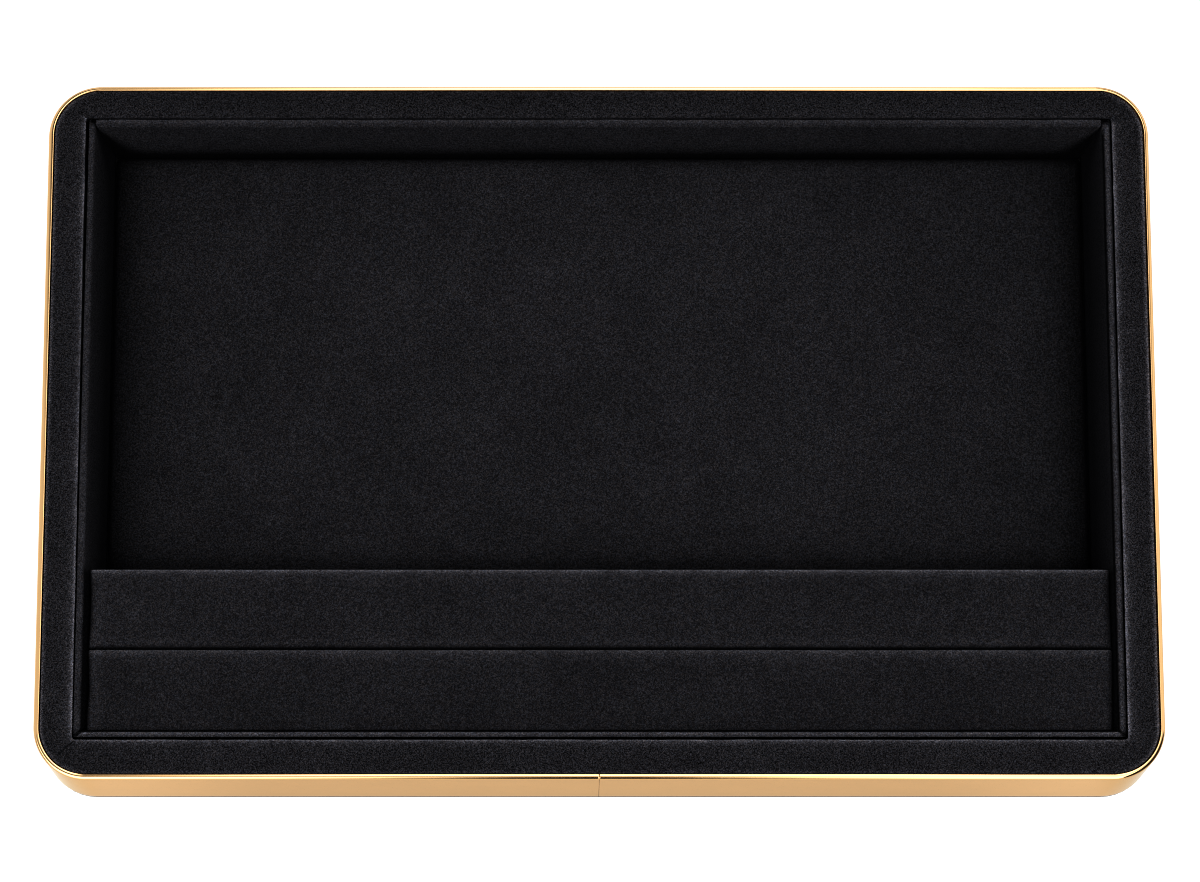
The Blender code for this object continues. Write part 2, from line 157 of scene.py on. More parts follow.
def grid_object(name, grid, wrap_u, wrap_v, mat, attributes=None, cap_u=False):
    """Mesh of a (u, v) grid of points; wrapped sides join up, cap_u closes the two ends of u."""
    nu, nv = grid.shape[:2]
    verts = grid.reshape(-1, 3)
    faces = []
    for i in range(nu if wrap_u else nu - 1):
        a, b = i * nv, ((i + 1) % nu) * nv
        for j in range(nv if wrap_v else nv - 1):
            k = (j + 1) % nv
            faces.append((a + j, b + j, b + k, a + k))
    if cap_u:
        faces.append(tuple(range(nv)))
        faces.append(tuple((nu - 1) * nv + j for j in reversed(range(nv))))
    attributes = {k: np.asarray(v).reshape(-1) for k, v in (attributes or {}).items()}
    return face_out(new_object(name, verts, faces, mat, attributes))


def axis_steps(length, r0, r1, step, arc=7):
    """Positions along one side of a block: close together inside the two rounded ends."""
    head = [r0 * math.tan(math.radians(45.0 * i / arc)) for i in range(arc)]
    head = [r0 - h for h in reversed(head)]
    head = [0.0] + [h for h in head if h > 1e-6]
    tail = [length - r1 + r1 * math.tan(math.radians(45.0 * i / arc)) for i in range(arc + 1)]
    start, end = r0, length - r1
    near = [0.12 * step, 0.28 * step, 0.5 * step, 0.8 * step, 1.25 * step, 1.9 * step, 2.7 * step]
    if end - start > 8 * step:
        a, b = start + near[-1], end - near[-1]
        n = max(1, int(round((b - a) / step)))
        middle = [start + v for v in near[:-1]] + [a + (b - a) * i / n for i in range(n + 1)] \
            + [end - v for v in near[:-1]]
    else:
        n = max(1, int(round((end - start) / step)))
        middle = [start + (end - start) * i / n for i in range(1, n)]
    return np.array(sorted(set(round(v, 6) for v in head + [start] + middle + tail)))


def rounded_block(size, radii, steps, drop_bottom=True, arc=7):
    """Surface of a block (0..size) with elliptical rounded edges, as verts and quads.

    radii is ((x0, x1), (y0, y1), (z0, z1)). Returns points, faces, and each point's direction.
    drop_bottom leaves out the z = 0 side, for a cover that is open below."""
    axes = [axis_steps(size[i], max(radii[i][0], 1e-3), max(radii[i][1], 1e-3), steps[i], arc)
            for i in range(3)]
    index, points, faces = {}, [], []

    def vert(i, j, k):
        key = (i, j, k)
        if key not in index:
            index[key] = len(points)
            points.append((axes[0][i], axes[1][j], axes[2][k]))
        return index[key]

    n = [len(a) - 1 for a in axes]
    for i in range(n[0]):
        for j in range(n[1]):
            faces.append((vert(i, j, n[2]), vert(i + 1, j, n[2]), vert(i + 1, j + 1, n[2]), vert(i, j + 1, n[2])))
            if not drop_bottom:
                faces.append((vert(i, j, 0), vert(i, j + 1, 0), vert(i + 1, j + 1, 0), vert(i + 1, j, 0)))
    for i in range(n[0]):
        for k in range(n[2]):
            faces.append((vert(i, 0, k), vert(i + 1, 0, k), vert(i + 1, 0, k + 1), vert(i, 0, k + 1)))
            faces.append((vert(i, n[1], k), vert(i, n[1], k + 1), vert(i + 1, n[1], k + 1), vert(i + 1, n[1], k)))
    for j in range(n[1]):
        for k in range(n[2]):
            faces.append((vert(0, j, k), vert(0, j, k + 1), vert(0, j + 1, k + 1), vert(0, j + 1, k)))
            faces.append((vert(n[0], j, k), vert(n[0], j + 1, k), vert(n[0], j + 1, k + 1), vert(n[0], j, k + 1)))

    p = np.array(points)
    inner = p.copy()
    scale = np.ones_like(p)
    for a in range(3):
        lo, hi = max(radii[a][0], 1e-3), size[a] - max(radii[a][1], 1e-3)
        inner[:, a] = np.clip(p[:, a], lo, hi)
        scale[:, a] = np.where(p[:, a] < (lo + hi) / 2, max(radii[a][0], 1e-3), max(radii[a][1], 1e-3))
    d = (p - inner) / scale
    length = np.linalg.norm(d, axis=1)
    length[length < 1e-9] = 1.0
    d = d / length[:, None]
    return inner + d * scale, faces, d


def solidify(ob, thickness):
    """Cloth thickness behind the given surface, applied."""
    mod = ob.modifiers.new("cloth", "SOLIDIFY")
    mod.thickness = thickness * MM
    mod.offset = -1.0
    mod.use_even_offset = True
    mod.use_rim = True
    bpy.context.view_layer.update()
    deps = bpy.context.evaluated_depsgraph_get()
    mesh = bpy.data.meshes.new_from_object(ob.evaluated_get(deps), preserve_all_data_layers=True, depsgraph=deps)
    ob.modifiers.clear()
    old = ob.data
    ob.data = mesh
    mesh.name = ob.name
    bpy.data.meshes.remove(old)
    return face_out(ob)


# ------------------------------------------------------------------ node material helpers
class Tree:
    """Short calls for building a node tree."""

    def __init__(self, name, tree=None):
        self.tree = tree
        if tree is None:
            self.mat = bpy.data.materials.new(name)
            self.mat.use_nodes = True
            self.tree = self.mat.node_tree
            self.bsdf = self.tree.nodes["Principled BSDF"]

    def node(self, kind, **props):
        n = self.tree.nodes.new(kind)
        for k, v in props.items():
            if k in n.inputs and not hasattr(n, k):
                n.inputs[k].default_value = v
            else:
                setattr(n, k, v)
        return n

    def link(self, a, b):
        self.tree.links.new(a, b)

    def coords(self):
        return self.node("ShaderNodeTexCoord").outputs["Object"]

    def noise(self, vector, scale, detail=2.0, rough=0.5, distortion=0.0, kind="FBM"):
        n = self.node("ShaderNodeTexNoise")
        n.noise_type = kind
        n.inputs["Scale"].default_value = scale
        n.inputs["Detail"].default_value = detail
        n.inputs["Roughness"].default_value = rough
        n.inputs["Distortion"].default_value = distortion
        self.link(vector, n.inputs["Vector"])
        return n.outputs["Fac"]

    def math(self, op, a, b=None, clamp=False):
        n = self.node("ShaderNodeMath", operation=op)
        n.use_clamp = clamp
        for i, v in enumerate((a, b)):
            if v is None:
                continue
            if isinstance(v, (int, float)):
                n.inputs[i].default_value = v
            else:
                self.link(v, n.inputs[i])
        return n.outputs[0]

    def ramp(self, value, lo, hi, out_lo=0.0, out_hi=1.0):
        n = self.node("ShaderNodeMapRange")
        n.clamp = True
        self.link(value, n.inputs["Value"])
        n.inputs["From Min"].default_value = lo
        n.inputs["From Max"].default_value = hi
        n.inputs["To Min"].default_value = out_lo
        n.inputs["To Max"].default_value = out_hi
        return n.outputs["Result"]

    def mix(self, fac, a, b):
        n = self.node("ShaderNodeMix", data_type="RGBA")
        if isinstance(fac, (int, float)):
            n.inputs["Factor"].default_value = fac
        else:
            self.link(fac, n.inputs["Factor"])
        for socket, v in (("A", a), ("B", b)):
            target = [s for s in n.inputs if s.name == socket and s.type == "RGBA"][0]
            if isinstance(v, tuple):
                target.default_value = (*v, 1.0)
            else:
                self.link(v, target)
        return [s for s in n.outputs if s.type == "RGBA"][0]

    def step(self, value, lo, hi):
        """Smooth step from 0 at lo to 1 at hi; hi below lo makes it fall."""
        n = self.node("ShaderNodeMapRange", interpolation_type="SMOOTHSTEP")
        n.clamp = True
        self.link(value, n.inputs["Value"])
        flip = hi < lo
        n.inputs["From Min"].default_value = min(lo, hi)
        n.inputs["From Max"].default_value = max(lo, hi)
        n.inputs["To Min"].default_value = 1.0 if flip else 0.0
        n.inputs["To Max"].default_value = 0.0 if flip else 1.0
        return n.outputs["Result"]

    def product(self, *values):
        out = values[0]
        for v in values[1:]:
            out = self.math("MULTIPLY", out, v)
        return out

    def attribute(self, name):
        return self.node("ShaderNodeAttribute", attribute_name=name, attribute_type="GEOMETRY").outputs["Fac"]

    def bump(self, height, strength, distance, normal=None):
        n = self.node("ShaderNodeBump")
        n.inputs["Strength"].default_value = strength
        n.inputs["Distance"].default_value = distance
        self.link(height, n.inputs["Height"])
        if normal is not None:
            self.link(normal, n.inputs["Normal"])
        return n.outputs["Normal"]


def suede(name, base, lift=1.0, sheen=0.25, seed=0.0, span=None):
    """Black microfibre suede: short curly nap, soft brushed patches, a painted highlight along the
    edges and painted shade in the joints and recesses, each read from a mesh attribute."""
    t = Tree(name)
    where = t.node("ShaderNodeMapping")
    where.inputs["Location"].default_value = (seed, seed * 0.37, -seed * 0.61)
    t.link(t.coords(), where.inputs["Vector"])
    v = where.outputs["Vector"]
    # short curled fibres: thin bright ridges, a third to 1 mm apart, over a darker ground
    nap = None
    for scale, width, shift in ((1600.0, 0.064, 0.0), (2250.0, 0.074, 7.3)):
        moved = t.node("ShaderNodeVectorMath", operation="ADD")
        t.link(v, moved.inputs[0])
        moved.inputs[1].default_value = (shift, -shift, shift * 0.5)
        curl = t.noise(moved.outputs["Vector"], scale, 1.0, 0.5, 0.9)
        ridge = t.math("ABSOLUTE", t.math("SUBTRACT", curl, 0.5))
        ridge = t.ramp(ridge, 0.0, width, 1.0, 0.0)
        nap = ridge if nap is None else t.math("MAXIMUM", nap, ridge)
    fine = t.noise(v, 2100.0, 1.0, 0.5)
    nap = t.math("MULTIPLY", nap, t.ramp(fine, 0.34, 0.62, 0.22, 1.25))
    # brushed patches, 8 to 40 mm
    patch = t.noise(v, 38.0, 3.0, 0.55, 0.4)
    brushed = t.noise(v, 120.0, 2.0, 0.5, 0.2)
    low, high = span or (NAP_LOW, NAP_HIGH)
    tone = t.math("MULTIPLY", t.ramp(nap, 0.0, 1.0, low, high), t.ramp(patch, 0.3, 0.7, 0.88, 1.12))
    tone = t.math("MULTIPLY", tone, t.ramp(brushed, 0.3, 0.7, 0.94, 1.06))
    # painted highlight along the edges, grained by the nap
    painted_highlight = t.math("MULTIPLY", t.attribute("painted_highlight"), PAINT)
    highlight_grain = t.ramp(nap, 0.0, 1.0, 0.35, 2.1)
    tone = t.math("ADD", tone, t.math("MULTIPLY", painted_highlight, highlight_grain))
    # painted shade in the joints and recesses
    painted_shade = t.math("MULTIPLY", t.attribute("painted_shade"), PAINT)
    tone = t.math("MULTIPLY", tone, t.math("SUBTRACT", 1.0, painted_shade))
    tone = t.math("MULTIPLY", tone, lift)
    # single fibres lean to brown or to blue
    cast = t.noise(v, 2000.0, 0.0, 0.5)
    warm = tuple(b * k for b, k in zip(base, (1.06, 1.0, 0.94)))
    cool = tuple(b * k for b, k in zip(base, (0.94, 1.0, 1.07)))
    colour = t.node("ShaderNodeVectorMath", operation="SCALE")
    t.link(t.mix(t.ramp(cast, 0.36, 0.64), cool, warm), colour.inputs[0])
    t.link(tone, colour.inputs["Scale"])
    t.link(colour.outputs["Vector"], t.bsdf.inputs["Base Color"])
    t.bsdf.inputs["Roughness"].default_value = 0.95
    t.bsdf.inputs["Specular IOR Level"].default_value = 0.01
    t.bsdf.inputs["Sheen Weight"].default_value = sheen
    t.bsdf.inputs["Sheen Roughness"].default_value = 0.45
    t.bsdf.inputs["Sheen Tint"].default_value = (0.86, 0.88, 1.0, 1.0)
    t.link(t.bump(nap, 0.55, 0.00018), t.bsdf.inputs["Normal"])
    return t.mat


def gold(name):
    """Polished gold-coloured plating with faint drawing lines and finger haze."""
    t = Tree(name)
    v = t.coords()
    stretch = t.node("ShaderNodeMapping")
    stretch.inputs["Scale"].default_value = (1.0, 1.0, 30.0)
    t.link(v, stretch.inputs["Vector"])
    lines = t.noise(stretch.outputs["Vector"], 60.0, 4.0, 0.6)
    haze = t.noise(v, 45.0, 3.0, 0.55, 0.3)
    pores = t.noise(v, 1800.0, 2.0, 0.5)
    colour = t.mix(t.ramp(haze, 0.3, 0.7), GOLD_A, GOLD_B)
    t.link(colour, t.bsdf.inputs["Base Color"])
    t.bsdf.inputs["Metallic"].default_value = 1.0
    t.bsdf.inputs["Specular Tint"].default_value = (*GOLD_EDGE, 1.0)
    rough = t.math("ADD", t.ramp(haze, 0.3, 0.75, 0.045, 0.075), t.math("MULTIPLY", lines, 0.02))
    t.link(rough, t.bsdf.inputs["Roughness"])
    height = t.math("ADD", t.math("MULTIPLY", lines, 0.7), t.math("MULTIPLY", pores, 0.3))
    t.link(t.bump(height, 0.08, 0.00002), t.bsdf.inputs["Normal"])
    return t.mat


def steel(name):
    """Zinc-plated steel, dull, with a faint crystalline bloom."""
    t = Tree(name)
    v = t.coords()
    bloom = t.noise(v, 420.0, 3.0, 0.6, 0.6)
    scratch = t.node("ShaderNodeMapping")
    scratch.inputs["Scale"].default_value = (1.0, 1.0, 14.0)
    t.link(v, scratch.inputs["Vector"])
    lines = t.noise(scratch.outputs["Vector"], 500.0, 2.0, 0.5)
    t.link(t.mix(t.ramp(bloom, 0.3, 0.7), (0.50, 0.50, 0.47), (0.62, 0.62, 0.60)), t.bsdf.inputs["Base Color"])
    t.bsdf.inputs["Metallic"].default_value = 1.0
    t.link(t.ramp(bloom, 0.25, 0.75, 0.30, 0.46), t.bsdf.inputs["Roughness"])
    t.link(t.bump(lines, 0.15, 0.00003), t.bsdf.inputs["Normal"])
    return t.mat


def fibreboard(name, tint=1.0):
    """Medium fibreboard: pressed fibres in two tones, soft surface."""
    t = Tree(name)
    v = t.coords()
    flat = t.node("ShaderNodeMapping")
    flat.inputs["Scale"].default_value = (1.0, 1.0, 6.0)
    t.link(v, flat.inputs["Vector"])
    fibres = t.noise(flat.outputs["Vector"], 900.0, 4.0, 0.7, 1.0)
    cloud = t.noise(v, 60.0, 3.0, 0.5)
    base = t.mix(t.ramp(fibres, 0.3, 0.7), (0.30, 0.19, 0.105), (0.50, 0.36, 0.22))
    base = t.mix(t.ramp(cloud, 0.3, 0.7, 0.0, 0.35), base, (0.38, 0.26, 0.15))
    stain = t.node("ShaderNodeVectorMath", operation="SCALE")
    stain.inputs["Scale"].default_value = tint
    t.link(base, stain.inputs[0])
    t.link(stain.outputs["Vector"], t.bsdf.inputs["Base Color"])
    t.bsdf.inputs["Roughness"].default_value = 0.82
    t.link(t.bump(fibres, 0.35, 0.00012), t.bsdf.inputs["Normal"])
    return t.mat


def card(name, dark, light):
    """Dense board: fine pulp flecks."""
    t = Tree(name)
    v = t.coords()
    flecks = t.noise(v, 1500.0, 3.0, 0.65)
    cloud = t.noise(v, 90.0, 2.0, 0.5)
    base = t.mix(t.ramp(flecks, 0.35, 0.68), dark, light)
    base = t.mix(t.ramp(cloud, 0.35, 0.65, 0.0, 0.3), base, dark)
    t.link(base, t.bsdf.inputs["Base Color"])
    t.bsdf.inputs["Roughness"].default_value = 0.86
    t.link(t.bump(flecks, 0.2, 0.00006), t.bsdf.inputs["Normal"])
    return t.mat


def foam(name):
    """Grey-black polyether foam, open cells of about half a millimetre."""
    t = Tree(name)
    v = t.coords()
    cells = t.node("ShaderNodeTexVoronoi", feature="DISTANCE_TO_EDGE")
    cells.inputs["Scale"].default_value = 1700.0
    t.link(v, cells.inputs["Vector"])
    wall = t.ramp(cells.outputs["Distance"], 0.02, 0.22, 1.0, 0.0)
    cloud = t.noise(v, 200.0, 2.0, 0.5)
    base = t.mix(wall, (0.018, 0.018, 0.020), (0.085, 0.085, 0.09))
    base = t.mix(t.ramp(cloud, 0.35, 0.65, 0.0, 0.35), base, (0.05, 0.05, 0.055))
    t.link(base, t.bsdf.inputs["Base Color"])
    t.bsdf.inputs["Roughness"].default_value = 0.95
    t.link(t.bump(wall, 0.6, 0.00015), t.bsdf.inputs["Normal"])
    return t.mat


def felt(name):
    """Black needle felt: matted fibres."""
    t = Tree(name)
    v = t.coords()
    mat = t.noise(v, 700.0, 4.0, 0.7, 1.6)
    cloud = t.noise(v, 55.0, 3.0, 0.5)
    base = t.mix(t.ramp(mat, 0.32, 0.7), (0.006, 0.006, 0.0065), (0.030, 0.030, 0.032))
    base = t.mix(t.ramp(cloud, 0.35, 0.65, 0.0, 0.4), base, (0.014, 0.014, 0.015))
    t.link(base, t.bsdf.inputs["Base Color"])
    t.bsdf.inputs["Roughness"].default_value = 0.98
    t.bsdf.inputs["Specular IOR Level"].default_value = 0.1
    t.bsdf.inputs["Sheen Weight"].default_value = 0.12
    t.bsdf.inputs["Sheen Roughness"].default_value = 0.6
    t.link(t.bump(mat, 0.7, 0.00025), t.bsdf.inputs["Normal"])
    return t.mat


def lacquer(name):
    """Black stained board edge: satin, with faint pressed grain."""
    t = Tree(name)
    v = t.coords()
    grain = t.noise(v, 800.0, 3.0, 0.6, 0.5)
    t.link(t.mix(t.ramp(grain, 0.3, 0.7), (0.008, 0.008, 0.0085), (0.018, 0.018, 0.019)), t.bsdf.inputs["Base Color"])
    t.link(t.ramp(grain, 0.3, 0.7, 0.55, 0.75), t.bsdf.inputs["Roughness"])
    t.link(t.bump(grain, 0.25, 0.00005), t.bsdf.inputs["Normal"])
    return t.mat


GOLD_A = (0.79, 0.52, 0.262)
GOLD_B = (0.83, 0.55, 0.28)
GOLD_EDGE = (0.78, 0.64, 0.45)
SUEDE_BASE = (0.0254, 0.0246, 0.0277)
PAINT = 1.0
SHEEN = 0.015
NAP_LOW, NAP_HIGH = 0.28, 2.30

M_GOLD = gold("look_gold")
M_RIM = suede("look_suede_rim", SUEDE_BASE, 0.93, SHEEN, 0.0, (0.10, 2.72))   # its nap stands up more
M_WALL = suede("look_suede_wall", SUEDE_BASE, 1.0, SHEEN, 1.3)
M_FLOOR = suede("look_suede_floor", SUEDE_BASE, 1.0, SHEEN, 2.9)
M_PAD = suede("look_suede_pad", SUEDE_BASE, 0.93, SHEEN, 4.7)
M_STEEL = steel("look_zinc_steel")
M_TIMBER = fibreboard("look_fibreboard")
M_STAINED = card("look_blackened_board", (0.0016, 0.0016, 0.0018), (0.0045, 0.0045, 0.0048))
M_CARD = card("look_grey_card", (0.24, 0.225, 0.20), (0.40, 0.38, 0.345))
M_BLACK_CARD = card("look_black_card", (0.010, 0.010, 0.011), (0.030, 0.030, 0.031))
M_FOAM = foam("look_foam")
M_FELT = felt("look_felt")
M_BASE = lacquer("look_black_board")


# ------------------------------------------------------------------ metal band
def rounded_path(x, y, r, straight, arc):
    """Anticlockwise path of a rounded rectangle +-x, +-y from the middle of the front: points with
    outward directions. straight is the spacing on the sides, arc the number of steps in a corner."""
    out = []

    def run(a, b, normal, skip_first=True):
        a, b = np.array(a, float), np.array(b, float)
        n = max(1, int(math.ceil(np.linalg.norm(b - a) / straight)))
        for i in range(1 if skip_first else 0, n + 1):
            out.append((a + (b - a) * i / n, np.array(normal, float)))

    def turn(cx, cy, start):
        for i in range(1, arc + 1):
            a = math.radians(start + 90.0 * i / arc)
            u = np.array((math.cos(a), math.sin(a)))
            out.append((np.array((cx, cy)) + r * u, u))

    run((0, -y), (x - r, -y), (0, -1), False)
    turn(x - r, -y + r, -90)
    run((x, -y + r), (x, y - r), (1, 0))
    turn(x - r, y - r, 0)
    run((x - r, y), (-x + r, y), (0, 1))
    turn(-x + r, y - r, 90)
    run((-x, y - r), (-x, -y + r), (-1, 0))
    turn(-x + r, -y + r, 180)
    run((-x + r, -y), (0, -y), (0, -1))
    return out


def make_band():
    """Bead-topped strip, rolled round the tray; its two ends butt at the middle of the front and
    are eased with a small radius."""
    gap, ease = 0.05, 0.14
    path = rounded_path(HALF_W, HALF_D, CORNER_R, 4.0, 40)
    pts = [p for p, _ in path]
    dirs = [u for _, u in path]
    # the two ends, drawn back from the centre, with close stations for their easing
    first, last = dirs[0], dirs[-1]
    inner_pts = pts[1:-1]
    inner_dirs = dirs[1:-1]
    head, tail = [], []
    for i in range(7):
        s = ease * (1 - math.cos(math.radians(90.0 * i / 6)))
        inset = ease - math.sqrt(max(ease ** 2 - (ease - s) ** 2, 0.0))
        head.append((np.array((gap / 2 + s, -HALF_D)), first, inset))
        tail.append((np.array((-gap / 2 - s, -HALF_D)), last, inset))
    for s in (0.3, 0.45, 0.7, 1.1, 1.8, 2.8):
        head.append((np.array((gap / 2 + s, -HALF_D)), first, 0.0))
        tail.append((np.array((-gap / 2 - s, -HALF_D)), last, 0.0))
    stations = head + [(p, u, 0.0) for p, u in zip(inner_pts, inner_dirs) if abs(p[0]) > 3.4 or p[1] > 0] + tail[::-1]

    def section(inset, lip, r1, tilt, curl):
        """Offsets from the outer face (inwards negative) and heights, a closed loop. The top is
        rolled over: a large radius r1 outside, a shallow crown that ends tilted inwards by tilt,
        and a tight curl inside; lip is the width over all three."""
        half = BAND_T / 2
        out = []
        foot, c = BAND_BOTTOM, 0.25
        for i in range(6):
            a = math.radians(90.0 * i / 5)
            out.append((-c + c * math.sin(a), foot + c - c * math.cos(a)))
        turn, end, r3 = math.radians(10.0), math.radians(tilt), curl
        r2 = (lip - r1 * (1 - math.sin(turn)) - r3 * (1 - math.sin(end))) / (math.sin(turn) + math.sin(end))
        z2 = TOP - r2
        z1 = z2 + (r2 - r1) * math.cos(turn)
        for z in (4.0, 7.0, 11.0, 15.0, 20.0, 25.0, 30.0, 34.0, z1 - 0.9):
            out.append((0.0, z))
        for i in range(17):
            a = math.radians(90.0) - (math.radians(90.0) - turn) * i / 16
            out.append((-r1 + r1 * math.sin(a), z1 + r1 * math.cos(a)))
        a0 = -r1 + (r1 - r2) * math.sin(turn)
        for i in range(1, 9):
            a = turn - (turn + end) * i / 8
            out.append((a0 + r2 * math.sin(a), z2 + r2 * math.cos(a)))
        cx = a0 - (r2 - r3) * math.sin(end)
        cz = z2 + (r2 - r3) * math.cos(end)
        for i in range(1, 9):
            a = -end - (math.radians(90.0) - end) * i / 8
            out.append((cx + r3 * math.sin(a), cz + r3 * math.cos(a)))
        out.append((-lip, TOP - 0.62))
        out.append((-lip + (lip - BAND_T) * 0.5, TOP - 0.95))
        for z in (TOP - 1.25, 34.0, 28.0, 20.0, 12.0, 6.0):
            out.append((-BAND_T, z))
        for i in range(5):
            a = math.radians(90.0 * i / 4)
            out.append((-BAND_T + c - c * math.cos(a), foot + c - c * math.sin(a)))
        out = np.array(out)
        if inset > 0:
            # pull the outline in towards its middle line
            mid = np.stack([np.full(len(out), -half), np.clip(out[:, 1], foot + half, TOP - half)], 1)
            d = out - mid
            length = np.maximum(np.linalg.norm(d, axis=1), 1e-9)
            out = mid + d * ((length - inset) / length)[:, None]
        return out

    rows = []
    for p, u, inset in stations:
        # the lip is rolled narrower along the back and the right, and flatter along the sides
        fb = abs(float(u[1]))
        back = max(0.0, float(u[1]))
        right = max(0.0, float(u[0]))
        s = section(inset, BAND_T - 0.30 * back - 0.32 * right, 0.95 - 0.15 * back - 0.05 * right,
                    1.5 + 13.0 * fb, 0.12 - 0.05 * fb)
        # a drawn strip is never quite flat: a few hundredths of a millimetre
        w = 0.018 * noise.noise(Vector((p[0] / 46.0, p[1] / 46.0, 3.1))) + \
            0.006 * noise.noise(Vector((p[0] / 11.0, p[1] / 11.0, 8.4)))
        w = min(w, 0.0)
        row = [(p[0] + u[0] * (o + w), p[1] + u[1] * (o + w), z) for o, z in s]
        rows.append(row)
    grid = np.array(rows)
    return grid_object("band_polished", grid, False, True, M_GOLD, cap_u=True)


band = make_band()
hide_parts("metal_band")
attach(band, "tray")


# ------------------------------------------------------------------ rim: suede over a foam ring
# how far the cloth is pulled outwards along the sides of the well, by corner (x, y)
PULLED_OUT = {(1, -1): 0.48, (1, 1): 0.48, (-1, 1): 0.30, (-1, -1): 0.02}


def pulled_out(x, y):
    """The same between the corners."""
    share = np.clip((y - WELL_FRONT) / (WELL_BACK - WELL_FRONT), 0, 1)
    return np.where(x > 0, PULLED_OUT[(1, 1)], PULLED_OUT[(-1, -1)] + (PULLED_OUT[(-1, 1)] - PULLED_OUT[(-1, -1)]) * share)


def rim_stations(straight, arc):
    """Pairs of an outer and an inner point round the rim, with the outward direction."""
    out = []
    corners = [(1, -1, -90.0), (1, 1, 0.0), (-1, 1, 90.0), (-1, -1, 180.0)]
    for n, (sx, sy, start) in enumerate(corners):
        co = np.array((sx * (RIM_X - RIM_R), sy * (RIM_Y - RIM_R)))
        wy = WELL_FRONT if sy < 0 else WELL_BACK
        ci = np.array((sx * (WELL_X - WELL_R + PULLED_OUT[(sx, sy)]), wy - sy * WELL_R))
        for i in range(arc + 1):
            a = math.radians(start + 90.0 * i / arc)
            u = np.array((math.cos(a), math.sin(a)))
            out.append((co + RIM_R * u, ci + WELL_R * u, u))
        # straight run to the next corner
        nx, ny, nstart = corners[(n + 1) % 4]
        a = math.radians(nstart)
        u = np.array((math.cos(a), math.sin(a)))
        co2 = np.array((nx * (RIM_X - RIM_R), ny * (RIM_Y - RIM_R))) + RIM_R * u
        wy2 = WELL_FRONT if ny < 0 else WELL_BACK
        ci2 = np.array((nx * (WELL_X - WELL_R + PULLED_OUT[(nx, ny)]), wy2 - ny * WELL_R)) + WELL_R * u
        o1, i1 = out[-1][0], out[-1][1]
        length = np.linalg.norm(co2 - o1)
        # the spacing grows from the corner's to the straight one
        near = [0.4, 0.9, 1.6, 2.5, 3.6, 5.0, 6.8]
        m = int(round((length - 2 * near[-1]) / straight))
        spots = near + [near[-1] + (length - 2 * near[-1]) * k / m for k in range(1, m + 1)] \
            + [length - v for v in reversed(near[:-1])]
        for s in spots:
            f = s / length
            out.append((o1 + (co2 - o1) * f, i1 + (ci2 - i1) * f, u))
    return out


CREASES = [
    # path in plan, depth, half width, how it fades along its length (start, end)
    (spline([(-162.6, -99.5), (-165.3, -101.9), (-166.8, -103.3), (-168.3, -104.8), (-169.6, -106.2)], 24), 0.30, 0.30, 1.0, 0.6),
    (spline([(162.9, -99.5), (164.2, -101.0), (165.7, -102.7), (167.3, -104.0), (168.9, -104.6)], 24), 0.20, 0.30, 0.8, 0.6),
    (spline([(162.4, 99.9), (163.6, 100.8), (165.6, 102.0), (167.8, 103.3)], 24), 0.40, 1.05, 1.0, 0.15),
    (spline([(169.0, 104.4), (171.0, 103.6), (172.6, 102.8)], 16), 0.14, 0.28, 0.6, 0.6),
    (spline([(-162.0, 100.5), (-163.4, 102.3), (-164.6, 104.2)], 18), 0.16, 0.9, 1.0, 0.0),
]


def rim_relief(x, y):
    """Height change of the rim's top, from the creases at its corners and the pull of the cloth."""
    dz = np.zeros(x.shape)
    for path, depth, half, f0, f1 in CREASES:
        dist, share, _ = segment_distance(x, y, path)
        fade = (f0 + (f1 - f0) * share) * smooth((1.0 - share) / 0.12) * smooth((share + 0.06) / 0.08)
        dz -= depth * fade * np.exp(-(dist / half) ** 2)
        dz += 0.16 * depth * fade * np.exp(-((dist - 2.2 * half) / (1.1 * half)) ** 2)
    return dz


